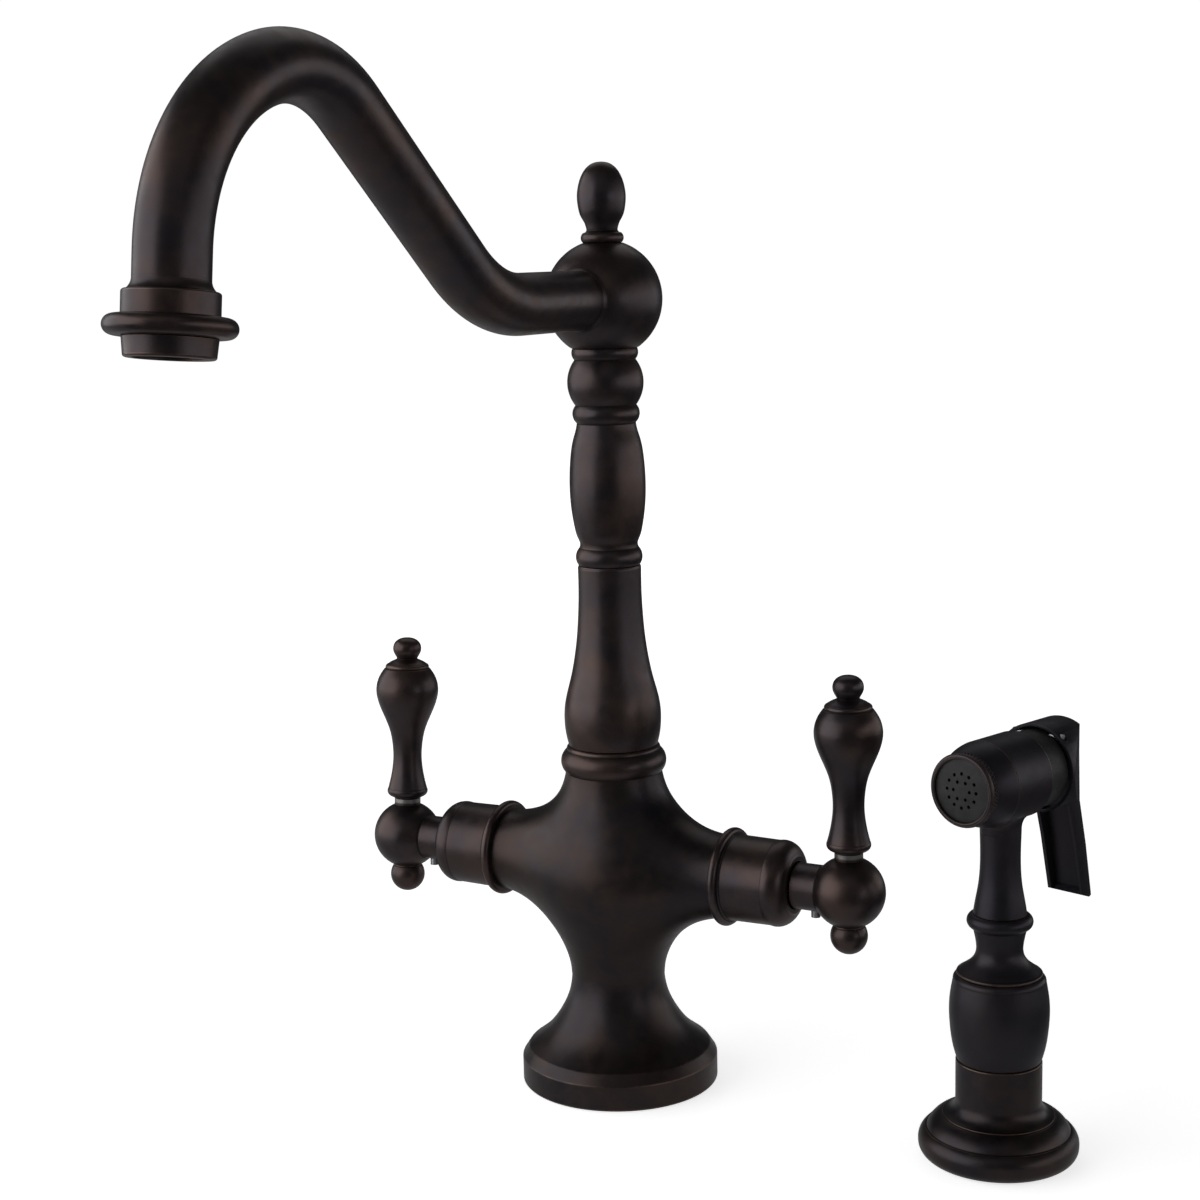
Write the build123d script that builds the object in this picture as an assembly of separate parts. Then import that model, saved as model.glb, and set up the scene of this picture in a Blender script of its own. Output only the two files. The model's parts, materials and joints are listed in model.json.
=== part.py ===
from build123d import *
import os
from math import acos, cos, radians, sin, sqrt

os.makedirs("parts", exist_ok=True)

# Two handle kitchen faucet with a side sprayer, in millimetres. The deck is z = 0, the spout column
# stands on the Z axis, the hot valve lies along -X, the cold one along +X, and the spout reaches to -Y.

# ---- clearances ----
slip = 0.05          # running fit of a shaft in its hole, on the radius
face_gap = 0.05      # between two faces that slide on each other
wrench_gap = 0.35    # between a handle's neck and the bonnet that it turns against
hood_gap = 0.9       # round the valve body, inside the trigger's hood

# ---- body casting ----
base_r = 33.35
base_edge = 8.5
waist_r = 15.75
waist_z = 37.5
belly_r = 20.0
neck_r = 15.9
neck_z = 107.3
handle_z = 75.8
arm_r = 13.5
arm_end = 41.5
arm_fillet = 19.0
rim_width = 4.35
recess_depth = 7.0
shank_r = 13.0
shank_length = 16.0
shank_boss_r = 17.5
gasket_depth = 1.2

# ---- waterways ----
manifold_r = 12.6
manifold_z = 46.0
manifold_top = 58.0
inlet_ring = 7.4     # distance of the three hose ports from the column's axis
inlet_thread_r = 4.5
inlet_thread_length = 10.0
passage_r = 3.0
spray_passage_r = 2.5
chamber_r = 4.5
chamber_bottom = 77.3
cross_drill_r = 2.0
cross_drill_rise = 4.0
cartridge_bore_r = 8.5
cartridge_floor = 14.0

# ---- swivel ----
diverter_r = 8.0
diverter_z = 86.0
spigot_r = 10.0
spigot_z = 97.0
male_neck_r = 14.3
male_neck_length = 5.0
nut_r = 17.7
nut_height = 9.4
washer_thickness = 0.5
foot_flange = 1.9
lip_r = 12.6
ring_section = 0.9   # half the thickness of an o-ring

# ---- column, ball and finial ----
column_bore = 6.5
column_seam = 177.6
column_top = 248.9
lower_belly_r = 16.2
upper_belly_r = 12.55
column_thread_r = 8.5
column_thread_length = 7.0
ball_thread_length = 5.0
ball_r = 19.15
ball_rise = 15.7     # the ball's centre above the column's top
finial_rise = 18.1   # the finial's foot above the ball's centre
finial_r = 7.9
finial_height = 25.7
finial_thread_r = 3.0

# ---- spout: straight out of the ball, up a slope, over the arch and down ----
tube_r = 9.5
tube_wall = 1.2
tube_start = 7.0
level_run = 53.0
slope_bend_r = 54.0
slope_angle = 39.5
slope_run = 66.5
crown_r = 39.5
crown_angle = 54.5
drop_bend_r = 52.5
tip_tilt = 7.0
drop_run = 13.7
tube_in_collar = 4.0

# ---- spout's end fitting, measured down from the collar's top ----
collar_r = 11.9
collar_length = 6.0
collar_skirt_r = 11.4
aerator_thread_r = 10.6
ring_r = 16.2
ring_length = 5.0
shell_r = 11.6
shell_length = 5.1
shell_bore = 9.2
screen_thickness = 2.5
screen_hole_r = 1.0
screen_pitch = 2.9

# ---- valves and bonnets, measured out along the arm ----
spigot_end = 52.0
arm_thread_r = 11.5
bonnet_r = 13.95
bonnet_bead_r = 16.26
bonnet_end = 66.6
bonnet_hole_r = 7.9
cartridge_r = 8.3
cartridge_flange = 3.0
seal_thickness = 1.5
disc_r = 6.9
disc_thickness = 3.0
stem_r = 3.5
dog_thickness = 2.4
spline_r = 3.4
spline_end = 77.0

# ---- handles ----
lever_x = 84.7
hub_ball_r = 11.8
hub_neck_r = 7.55
hub_neck_fillet = 1.0
lever_neck_r = 4.6
lever_thread_r = 3.0
lever_r = 10.97
lever_top = 139.0
lever_finial_r = 4.95
lever_finial_height = 7.6
tail_neck_r = 5.1
tail_thread_r = 2.5
tail_ball_r = 6.05
finial_pin_r = 1.8
set_screw_r = 1.5
set_screw_x = 73.2
set_screw_proud = 2.2
hot_lean = 3.5       # degrees that the hot handle stands back from upright

# ---- side sprayer's holder ----
sprayer_x = 137.0
sprayer_y = -6.9
flange_r = 24.65
flange_top = 13.3
flange_hole_r = 11.0
flange_hole_length = 8.5
gasket_radii = (19.5, 15.0)
holder_spigot_r = 13.0
holder_r = 13.25
holder_foot_r = 17.2
holder_top = 31.3
bush_r = 12.0
bush_bore = 10.7

# ---- side sprayer's handle ----
grip_z = 31.5
grip_top = 58.6
grip_r = 15.3
grip_spigot_z = 14.0
hose_bore = 7.0
nipple_z = 10.5
nipple_length = 14.0
hose_thread_length = 10.0
joint_spigot_r = 5.0
joint_spigot_length = 6.6
neck_foot_r = 13.15
wand_z = 77.8
stem_foot_r = 8.2

# ---- spray head, measured forward from the stem's axis ----
head_z = 120.05
head_turn = 16.8     # the head looks this far round from -Y towards -X
barrel_r = 13.25
barrel_rear = -8.5
barrel_front = 9.4
barrel_bore = 10.5
barrel_floor = 4.0
cone_front = 16.8
cone_front_r = 10.6
cone_thread_r = 9.5
knurl_ring_r = 11.26
knurl_front = 20.6
knurl_count = 48
spray_disc_r = 9.6
outer_holes = 12
inner_holes = 6
spray_hole_r = 0.55

# ---- trigger ----
valve_rear = -18.5
valve_edge = 0.8
hood_front = -17.5
hood_rear = -32.1
hood_wall = 1.0
plate_wall = 1.2
lever_width = 13.2
pin_x = -19.5
pin_height = 10.4
pin_r = 1.0
plunger_r = 2.5
plunger_collar_r = 4.5
plunger_travel = 1.7
wire_r = 0.35


def at(point):
    """A point of an outline: distance from the turning axis, then height along it."""
    return (point[0], 0, point[1])


def turned(start, *moves):
    """A solid of revolution about Z from an outline that closes on itself: a pair is a straight move,
    two pairs an arc through the first one, and a list a smooth curve through its points."""
    edges = []
    here = start
    for move in moves:
        if isinstance(move, list):
            edges.append(Spline(*[at(here)] + [at(point) for point in move]))
            here = move[-1]
        elif isinstance(move[0], tuple):
            edges.append(ThreePointArc(at(here), at(move[0]), at(move[1])))
            here = move[1]
        else:
            edges.append(Line(at(here), at(move)))
            here = move
    edges.append(Line(at(here), at(start)))
    return revolve(make_face(edges), Axis.Z)


def fitted(radius, low, high, *moves):
    """Moves of an outline that are given as shares of a radius and of the way from one height to another."""
    def place(point):
        return (point[0] * radius, low + point[1] * (high - low))

    return [[place(point) for point in move] if isinstance(move, list)
            else tuple(place(point) for point in move) if isinstance(move[0], tuple)
            else place(move) for move in moves]


def rod(radius, low, high):
    """A plain round bar along Z between two heights."""
    return Pos(0, 0, low) * Cylinder(radius, high - low, align=(Align.CENTER, Align.CENTER, Align.MIN))


def ring(outer, inner, low, high):
    """A plain round tube along Z between two heights."""
    return rod(outer, low, high) - rod(inner, low, high)


def o_ring(centre_r, section_r, height):
    """A round-section ring about Z."""
    return Pos(0, 0, height) * Torus(centre_r, section_r)


def coil(radius, wire, low, high, turns):
    """A helical spring about Z whose wire stays between two heights."""
    height = high - low - 2 * wire
    path = Pos(0, 0, low + wire) * Helix(height / turns, height, radius)
    section = Plane(path @ 0, z_dir=path % 0) * Circle(wire)
    return sweep(section, path, is_frenet=True)


def arc_height(radius, half_width):
    """How far from a circle's centre a chord of this half width lies."""
    return sqrt(radius**2 - half_width**2)


def on_arm(side, solid):
    """Turn a solid that points up so that it points out along the arm of this side."""
    return Pos(0, 0, handle_z) * Rot(0, 90 * side, 0) * solid


def save(solid, name):
    solid.label = name
    export_step(solid, f"parts/{name}.step")


# ======================================================================== body casting
def flare(low, high, shares):
    """Points of an S-shaped run between two (r, z) points, as shares of the way across and up."""
    return [(low[0] + across * (high[0] - low[0]), low[1] + up * (high[1] - low[1])) for across, up in shares]


def inlet_places():
    """Hot, cold and sprayer ports round the column's axis."""
    return [(inlet_ring * cos(radians(turn)), inlet_ring * sin(radians(turn))) for turn in (210, 330, 90)]


neck_top = neck_z + male_neck_length
inlet_y = inlet_places()[0][1]


def body_half():
    """The casting's outside on the +X side of the column: foot, belly, neck and one blended arm."""
    foot = flare((base_r, base_edge), (waist_r, waist_z),
                 [(0.026, 0.048), (0.19, 0.148), (0.52, 0.317), (0.78, 0.541), (0.93, 0.741), (1, 1)])
    belly = flare((waist_r, waist_z), (belly_r, handle_z), [(0.12, 0.22), (0.5, 0.5), (0.88, 0.78), (1, 1)])
    shoulder = flare((belly_r, handle_z), (neck_r, neck_z), [(0.12, 0.22), (0.5, 0.5), (0.88, 0.78), (1, 1)])
    post = turned((0, 0), (base_r - 0.7, 0), (base_r, 0.7), (base_r, base_edge), foot + belly + shoulder,
                  (male_neck_r, neck_z), (male_neck_r, neck_top), (0, neck_top))
    half = post & Box(2 * base_r, 2 * base_r, 3 * neck_top, align=(Align.MIN, Align.CENTER, Align.CENTER))
    half += on_arm(1, rod(arm_r, 0, arm_end))
    joins = [edge for edge in half.edges().filter_by(GeomType.BSPLINE)
             if belly_r / 2 < edge.center().X < arm_end - 1 and abs(edge.center().Z - handle_z) < arm_r]
    return fillet(joins, arm_fillet)


def faucet_body():
    half = body_half()
    body = half + mirror(half, Plane.YZ)
    for side in (-1, 1):
        body += on_arm(side, rod(arm_thread_r, 0, spigot_end))
        body -= on_arm(side, rod(cartridge_bore_r, cartridge_floor, spigot_end))
        body -= Pos(0, inlet_y, 0) * on_arm(side, rod(passage_r, inlet_ring * cos(radians(30)), cartridge_floor))
    body -= Pos(0, 1.5, handle_z + cross_drill_rise) * Rot(0, 90, 0) * rod(
        cross_drill_r, -cartridge_floor, cartridge_floor)
    body -= rod(shank_r, 0, shank_length) + rod(manifold_r, shank_length, manifold_top)
    body -= ring(base_r - rim_width, shank_boss_r, 0, recess_depth)
    body -= ring(base_r - 1.1, base_r - rim_width + 1.0, 0, gasket_depth)
    body -= rod(chamber_r, chamber_bottom, diverter_z) + rod(diverter_r, diverter_z, spigot_z)
    body -= rod(spigot_r, spigot_z, neck_top)
    hot_port, cold_port, spray_port = inlet_places()
    for place in (hot_port, cold_port):
        body -= Pos(*place, 0) * rod(passage_r, manifold_top, handle_z)
    body -= Pos(*spray_port, 0) * rod(spray_passage_r, manifold_top, diverter_z)
    return body


def base_gasket():
    return ring(base_r - 1.1, base_r - rim_width + 1.0, 0, gasket_depth)


def inlet_manifold():
    plug = rod(manifold_r, manifold_z, manifold_top)
    for place, through_r in zip(inlet_places(), (passage_r, passage_r, spray_passage_r)):
        plug -= Pos(*place, 0) * rod(inlet_thread_r, manifold_z, manifold_z + inlet_thread_length)
        plug -= Pos(*place, 0) * rod(through_r, manifold_z, manifold_top)
    return plug


# ======================================================================== swivel joint
nut_top = neck_z + nut_height
foot_z = neck_top + washer_thickness + face_gap
foot_top = foot_z + foot_flange
column_z = nut_top + face_gap
groove_r = spigot_r - slip - 2 * ring_section
groove_heights = (spigot_z + 5, spigot_z + 10)


def swivel_nut():
    return turned((male_neck_r, neck_z), (neck_r, neck_z), ((nut_r, neck_z + 4.2), (neck_r - 0.2, nut_top - 1.4)),
                  ((neck_r - 0.4, nut_top - 0.4), (neck_r - 0.9, nut_top)), (lip_r, nut_top),
                  (lip_r, foot_top + face_gap), (male_neck_r, foot_top + face_gap))


def swivel_washer():
    return ring(male_neck_r - 0.3, spigot_r + slip, neck_top, neck_top + washer_thickness)


def swivel_o_rings():
    centre_r = spigot_r - 0.03 - ring_section
    return Compound([o_ring(centre_r, ring_section, height) for height in groove_heights])


def diverter_cage():
    cage = ring(diverter_r, diverter_r - 1.5, diverter_z, spigot_z)
    cage += ring(diverter_r, chamber_r - 1.0, diverter_z, diverter_z + 1.0)
    cage += ring(diverter_r, chamber_r, spigot_z - 1.0, spigot_z)
    return cage - Pos(*inlet_places()[2], 0) * rod(spray_passage_r - 0.3, diverter_z, spigot_z - 2.0)


piston_z = diverter_z + 1.0
piston_top = piston_z + 2.0


def diverter_piston():
    return turned((0, piston_z), (diverter_r - 1.6, piston_z), (diverter_r - 1.6, piston_top), (2.0, piston_top),
                  (2.0, piston_top + 3.0), (0, piston_top + 3.0))


def diverter_spring():
    return coil(3.6, wire_r, piston_top, spigot_z - 1.0, 4)


# ======================================================================== column, ball and spout
def lower_column():
    spigot = spigot_r - slip
    low, high = groove_heights
    half = ring_section + 0.1
    return turned((column_bore, spigot_z + 1), (spigot, spigot_z + 1), (spigot, low - half),
                  (groove_r, low - half), (groove_r, low + half), (spigot, low + half),
                  (spigot, high - half), (groove_r, high - half), (groove_r, high + half),
                  (spigot, high + half), (spigot, foot_z), (male_neck_r - 0.3, foot_z),
                  (male_neck_r - 0.3, foot_top), (lip_r - 2 * slip, foot_top), (lip_r - 2 * slip, column_z),
                  *fitted(lower_belly_r, column_z, column_seam, (0.92, 0),
                          [(0.963, 0.048), (1, 0.143), (0.978, 0.234), (0.92, 0.304), (0.84, 0.385),
                           (0.765, 0.485), (0.71, 0.586), (0.67, 0.711), (0.648, 0.842), (0.648, 0.988)],
                          (0.636, 1)),
                  (column_thread_r, column_seam),
                  (column_thread_r, column_seam + column_thread_length),
                  (column_bore, column_seam + column_thread_length))


def upper_column():
    thread_top = column_top + ball_thread_length
    return turned((column_thread_r, column_seam),
                  *fitted(upper_belly_r, column_seam, column_top, (0.821, 0), ((0.88, 0.042), (0.785, 0.08)),
                          [(0.761, 0.094), (0.821, 0.129), (0.892, 0.174), (0.964, 0.255), (1, 0.365),
                           (0.964, 0.496), (0.876, 0.586), (0.797, 0.634), (0.773, 0.658)],
                          ((0.88, 0.703), (0.797, 0.739)), ((0.996, 0.844), (0.797, 0.947)),
                          ((0.869, 0.976), (0.845, 1))),
                  (column_thread_r, column_top), (column_thread_r, thread_top), (column_bore, thread_top),
                  (column_bore, column_seam + column_thread_length),
                  (column_thread_r, column_seam + column_thread_length))


ball_z = column_top + ball_rise
finial_z = ball_z + finial_rise


def spout_hub():
    ball = Pos(0, 0, ball_z) * Sphere(ball_r)
    ball &= rod(ball_r, column_top, finial_z)
    ball -= rod(column_thread_r, column_top, column_top + ball_thread_length)
    ball -= rod(column_bore, column_top, ball_z + 6) + rod(finial_thread_r, finial_z - 8, finial_z)
    socket = Pos(0, 0, ball_z) * Rot(90, 0, 0)
    return ball - socket * rod(tube_r, tube_start, ball_r) - socket * rod(tube_r - tube_wall, 0, tube_start)


def hub_finial():
    thread_end = finial_z - 7
    return turned((0, thread_end), (finial_thread_r, thread_end), (finial_thread_r, finial_z),
                  *fitted(finial_r, finial_z, finial_z + finial_height, (0.797, 0),
                          ((0.88, 0.07), (0.772, 0.125)), ((0.665, 0.14), (0.646, 0.175)),
                          [(0.709, 0.241), (0.861, 0.327), (0.968, 0.451), (1, 0.56), (0.949, 0.7),
                           (0.797, 0.837), (0.557, 0.938), (0.278, 0.988), (0, 1)]))


def spout_path():
    """The tube's centre line in the plane x = 0: level, up the slope, over the crown and down to the tip."""
    side = Plane.YZ
    drop_angle = 90 + slope_angle - crown_angle - tip_tilt
    level = Line((-tube_start, ball_z), (-level_run, ball_z))
    rise = JernArc(level @ 1, level % 1, slope_bend_r, -slope_angle)
    slope = Line(rise @ 1, rise @ 1 + (rise % 1) * slope_run)
    crown = JernArc(slope @ 1, slope % 1, crown_r, crown_angle)
    bend = JernArc(crown @ 1, crown % 1, drop_bend_r, drop_angle)
    drop = Line(bend @ 1, bend @ 1 + (bend % 1) * drop_run)
    return side * Wire([level, rise, slope, crown, bend, drop])


path = spout_path()
tip = Plane(path @ 1, x_dir=(1, 0, 0), z_dir=path % 1).location * Pos(0, 0, -tube_in_collar)


def spout_tube():
    start = Plane(path @ 0, z_dir=path % 0)
    return sweep(start * Circle(tube_r), path) - sweep(start * Circle(tube_r - tube_wall), path)


skirt_end = collar_length + ring_length - 0.2
shell_end = collar_length + ring_length + shell_length
collar_shoulder = tube_in_collar + 0.9
screen_z = shell_end - 1.2 - screen_thickness


def spout_collar():
    return tip * turned((tube_r, -3.2), ((tube_r + 0.35, -1.3), (tube_r + 1.4, 0)), (collar_r - 0.4, 0),
                        (collar_r, 0.4), (collar_r, collar_length), (collar_skirt_r, collar_length),
                        (collar_skirt_r, skirt_end), (aerator_thread_r, skirt_end),
                        (aerator_thread_r, collar_shoulder), (tube_r - tube_wall, collar_shoulder),
                        (tube_r - tube_wall, tube_in_collar), (tube_r, tube_in_collar))


def aerator_ring():
    low, high = collar_length, collar_length + ring_length
    flat_r = ring_r - ring_length / 2
    return tip * turned((collar_skirt_r, low), (flat_r, low), ((ring_r, (low + high) / 2), (flat_r, high)),
                        (shell_r - 0.6, high), (shell_r - 0.6, skirt_end), (collar_skirt_r, skirt_end))


def aerator_shell():
    low = collar_length + ring_length
    return tip * turned((shell_bore, collar_shoulder + 1.2), (aerator_thread_r, collar_shoulder + 1.2),
                        (aerator_thread_r, skirt_end), (shell_r - 0.6, skirt_end), (shell_r - 0.6, low),
                        (shell_r, low), (shell_r - 0.4, shell_end - 0.8),
                        ((shell_r - 0.65, shell_end - 0.2), (shell_r - 1.2, shell_end)), (shell_bore, shell_end))


def aerator_washer():
    return tip * ring(aerator_thread_r, shell_bore - 1.5, collar_shoulder, collar_shoulder + 1.2)


def aerator_screen():
    screen = rod(shell_bore, screen_z, screen_z + screen_thickness)
    for hole in HexLocations(screen_pitch / 2, 7, 7):
        if hole.position.length < shell_bore - 1.9:
            screen -= hole * rod(screen_hole_r, screen_z, screen_z + screen_thickness)
    return tip * screen


# ======================================================================== valves
housing_z = cartridge_floor + seal_thickness
moving_z = housing_z + disc_thickness + face_gap
dog_z = moving_z + disc_thickness
collar_end = spigot_end + cartridge_flange


def bonnet(side):
    dome_r = bonnet_r - 3.75
    return on_arm(side, turned(
        (arm_thread_r, arm_end), (bonnet_bead_r - 1.4, arm_end),
        ((bonnet_bead_r, arm_end + 1.5), (bonnet_bead_r - 1.8, arm_end + 3.0)), (bonnet_r + 0.2, arm_end + 3.7),
        (bonnet_r, bonnet_end - 7.1), ((bonnet_r - 0.85, bonnet_end - 2.4), (dome_r, bonnet_end - 0.4)),
        (dome_r - 0.8, bonnet_end), (bonnet_hole_r, bonnet_end), (bonnet_hole_r, bonnet_end - 5.5),
        (arm_thread_r, bonnet_end - 5.5)))


def seat_seal(side):
    return on_arm(side, ring(cartridge_r, disc_r, cartridge_floor, housing_z))


def cartridge(side):
    dog_room = dog_z + dog_thickness + 0.2
    housing = turned((disc_r + slip, housing_z), (cartridge_r, housing_z), (cartridge_r, spigot_end),
                     (arm_thread_r - 0.5, spigot_end), (arm_thread_r - 0.5, collar_end), (6.8, collar_end),
                     (6.8, collar_end + 4), (stem_r + slip, collar_end + 4), (stem_r + slip, dog_room),
                     (disc_r + slip, dog_room))
    window = Pos(0, 0, dog_z) * Box(3 * cartridge_r, 5, 3)
    return on_arm(side, housing - window)


def port(low, high, turn):
    """A half-moon water port through a valve disc."""
    moon = rod(disc_r - 1.6, low, high) & Pos(0, disc_r - 2.4, (low + high) / 2) * Box(20, disc_r, high - low)
    return Rot(0, 0, turn) * (moon - Pos(0, 0, (low + high) / 2) * Box(20, 2.4, high - low))


def fixed_disc(side):
    return on_arm(side, rod(disc_r, housing_z, housing_z + disc_thickness)
                  - port(housing_z, housing_z + disc_thickness, 180))


def moving_disc(side):
    return on_arm(side, rod(disc_r - 0.1, moving_z, dog_z) - port(moving_z, dog_z, 0))


def valve_stem(side):
    shaft = rod(disc_r - 0.3, dog_z, dog_z + dog_thickness) + rod(stem_r, dog_z, bonnet_end)
    spline = Pos(0, 0, bonnet_end) * extrude(RegularPolygon(spline_r, 12), spline_end - bonnet_end)
    return on_arm(side, shaft + spline)


# ======================================================================== handles
hub_top = handle_z + arc_height(hub_ball_r, lever_neck_r)
hub_bottom = handle_z - arc_height(hub_ball_r, tail_neck_r)
neck_start = bonnet_end + wrench_gap
screw_end = handle_z - hub_neck_r - set_screw_proud


def leant(side, solid):
    """Turn a solid of an upright handle about its arm, by as much as that handle leans."""
    lean = hot_lean if side < 0 else 0
    return Pos(0, 0, handle_z) * Rot(-lean, 0, 0) * Pos(0, 0, -handle_z) * solid


def on_lever(side, solid):
    return leant(side, Pos(side * lever_x, 0, 0) * solid)


def handle_hub(side):
    joint_r = hub_neck_r + hub_neck_fillet
    joint_reach = hub_ball_r + hub_neck_fillet
    joint_x = lever_x - arc_height(joint_reach, joint_r)
    half_turn = acos(joint_r / joint_reach) / 2
    share = hub_ball_r / joint_reach
    hub = on_arm(side, turned(
        (0, neck_start), (hub_neck_r, neck_start), (hub_neck_r, joint_x),
        ((joint_r - hub_neck_fillet * cos(half_turn), joint_x + hub_neck_fillet * sin(half_turn)),
         (joint_r * share, lever_x - (lever_x - joint_x) * share)),
        ((hub_ball_r, lever_x), (0, lever_x + hub_ball_r))))
    hub &= on_lever(side, rod(2 * hub_ball_r, hub_bottom, hub_top))
    hub -= on_arm(side, Pos(0, 0, neck_start) * extrude(RegularPolygon(spline_r, 12), spline_end - neck_start))
    hub -= on_lever(side, rod(lever_thread_r, hub_top - 7, hub_top))
    hub -= on_lever(side, rod(tail_thread_r, hub_bottom, hub_bottom + 6))
    screw_hole = rod(set_screw_r, screw_end, handle_z - spline_r + 0.2)
    return hub - leant(side, Pos(side * set_screw_x, 0, 0) * screw_hole)


def handle_lever(side):
    thread_end = hub_top - 7
    return on_lever(side, turned(
        (0, thread_end), (lever_thread_r, thread_end), (lever_thread_r, hub_top), (lever_neck_r, hub_top),
        (lever_neck_r, hub_top + 2.5),
        *fitted(lever_r, hub_top, lever_top, (0.552, 0.062), ((0.643, 0.083), (0.629, 0.113)),
                [(0.565, 0.166), (0.497, 0.241), (0.46, 0.331), (0.479, 0.411), (0.565, 0.51), (0.729, 0.601),
                 (0.875, 0.673), (0.971, 0.738), (1, 0.791), (0.966, 0.843), (0.88, 0.889), (0.738, 0.934)],
                (0.693, 0.94), ((0.693, 0.955), (0.629, 0.967)), [(0.538, 0.98), (0.397, 0.994), (0.337, 1)]),
        (finial_pin_r, lever_top), (finial_pin_r, lever_top - 5), (0, lever_top - 5)))


def lever_finial(side):
    return on_lever(side, turned(
        (0, lever_top - 5), (finial_pin_r, lever_top - 5), (finial_pin_r, lever_top),
        *fitted(lever_finial_r, lever_top, lever_top + lever_finial_height, (0.727, 0), (0.747, 0.066),
                [(0.879, 0.211), (0.99, 0.388), (1, 0.546), (0.919, 0.724), (0.697, 0.882), (0.384, 0.974),
                 (0, 1)])))


def tail_knob(side):
    z = hub_bottom
    centre = z - 0.5 - arc_height(tail_ball_r, tail_neck_r)
    return on_lever(side, turned(
        (0, z + 6), (tail_thread_r, z + 6), (tail_thread_r, z), (tail_neck_r, z), (tail_neck_r, z - 0.5),
        ((tail_ball_r, centre), (0, centre - tail_ball_r))))


def set_screw(side):
    return leant(side, Pos(side * set_screw_x, 0, 0) * rod(set_screw_r, screw_end, handle_z - spline_r))


# ======================================================================== sprayer's holder
def on_sprayer(solid):
    return Pos(sprayer_x, sprayer_y, 0) * solid


def sprayer_flange():
    return on_sprayer(turned(
        (flange_hole_r, 0), (flange_r - 4.05, 0), ((flange_r - 1.15, 1.3), (flange_r, 4.4)),
        ((flange_r - 0.35, 6.8), (flange_r - 2.05, 8.9)), (flange_r - 2.55, 8.9),
        ((flange_r - 4.35, 11.6), (holder_foot_r + 0.4, flange_top)),
        (holder_spigot_r, flange_top), (holder_spigot_r, flange_hole_length), (flange_hole_r, flange_hole_length))
        - ring(*gasket_radii, 0, 1.0))


def flange_gasket():
    return on_sprayer(ring(*gasket_radii, 0, 1.0))


def sprayer_holder():
    return on_sprayer(turned(
        (flange_hole_r, flange_hole_length), (holder_spigot_r, flange_hole_length), (holder_spigot_r, flange_top),
        (holder_foot_r, flange_top), (holder_foot_r, flange_top + 0.4),
        ((holder_r + 1.1, flange_top + 2.1), (holder_r, flange_top + 5.0)), (holder_r, holder_top - 0.3),
        (holder_r - 0.3, holder_top), (bush_r, holder_top), (bush_r, flange_hole_length + 1.5),
        (flange_hole_r, flange_hole_length + 1.5)))


def holder_bush():
    return on_sprayer(ring(bush_r, bush_bore, flange_hole_length + 1.5, holder_top - 0.3))


# ======================================================================== sprayer's handle
def sprayer_grip():
    outside = turned(
        (0, grip_spigot_z), (bush_bore - 2 * slip, grip_spigot_z), (bush_bore - 2 * slip, grip_z),
        *fitted(grip_r, grip_z, grip_top, (0.843, 0), (0.856, 0.015),
                [(0.918, 0.14), (0.977, 0.351), (1, 0.561), (0.987, 0.727), (0.954, 0.849), (0.928, 0.93)],
                ((0.908, 0.974), (0.85, 1))),
        (joint_spigot_r, grip_top), (joint_spigot_r, grip_top + joint_spigot_length),
        (0, grip_top + joint_spigot_length))
    return on_sprayer(outside - rod(hose_bore, grip_spigot_z, grip_top - 8)
                      - rod(passage_r, grip_top - 8, grip_top + joint_spigot_length))


def hose_nipple():
    return on_sprayer(ring(hose_bore, inlet_thread_r, nipple_z, nipple_z + hose_thread_length)
                      + ring(hose_bore, passage_r, nipple_z + hose_thread_length, nipple_z + nipple_length))


def sprayer_neck():
    outside = turned(
        (0, grip_top),
        *fitted(neck_foot_r, grip_top, wand_z, (0.966, 0), ((1, 0.026), (0.958, 0.052)),
                [(0.859, 0.104), (0.73, 0.172), (0.605, 0.271), (0.544, 0.396), (0.548, 0.5), (0.589, 0.656),
                 (0.624, 0.76)], ((0.768, 0.875), (0.646, 1))),
        (0, wand_z))
    return on_sprayer(outside - rod(joint_spigot_r, grip_top, grip_top + joint_spigot_length)
                      - rod(joint_spigot_r, wand_z - joint_spigot_length, wand_z)
                      - rod(passage_r, grip_top, wand_z))


head = Pos(sprayer_x, sprayer_y, head_z) * Rot(0, 0, -90 - head_turn)   # X forward out of the nozzle, Z up
nose = head * Rot(0, 90, 0)                                             # for what is turned about the head's axis


def sprayer_wand():
    stem = turned(
        (0, wand_z - joint_spigot_length), (joint_spigot_r, wand_z - joint_spigot_length),
        (joint_spigot_r, wand_z),
        *fitted(stem_foot_r, wand_z, head_z, (1, 0),
                [(0.927, 0.09), (0.823, 0.201), (0.759, 0.331), (0.746, 0.443), (0.756, 0.549), (0.805, 0.691),
                 (0.829, 0.787)], (0, 0.787)))
    barrel = rod(barrel_r, barrel_rear + 1.0, barrel_front) + turned(
        (0, barrel_rear), (barrel_r - 0.8, barrel_rear),
        ((barrel_r - 0.2, barrel_rear + 0.3), (barrel_r, barrel_rear + 1.0)), (0, barrel_rear + 1.0))
    wand = on_sprayer(stem) + nose * barrel
    wand -= nose * (rod(barrel_bore, barrel_rear, barrel_floor) + rod(passage_r, barrel_floor, barrel_front)
                    + rod(cone_thread_r, barrel_floor + 1.5, barrel_front))
    return wand - on_sprayer(rod(passage_r, wand_z - joint_spigot_length, head_z))


def nozzle_washer():
    return nose * ring(cone_thread_r, passage_r + 2, barrel_floor + 1.5, barrel_floor + 2.5)


def nozzle_cone():
    return nose * turned(
        (passage_r + 2, barrel_floor + 2.5), (cone_thread_r, barrel_floor + 2.5), (cone_thread_r, barrel_front),
        (barrel_r, barrel_front), ((barrel_r - 0.65, barrel_front + 3.4), (cone_front_r, cone_front)),
        (9.0, cone_front), (9.0, cone_front + 2.1), (passage_r + 2, cone_front + 2.1))


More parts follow.
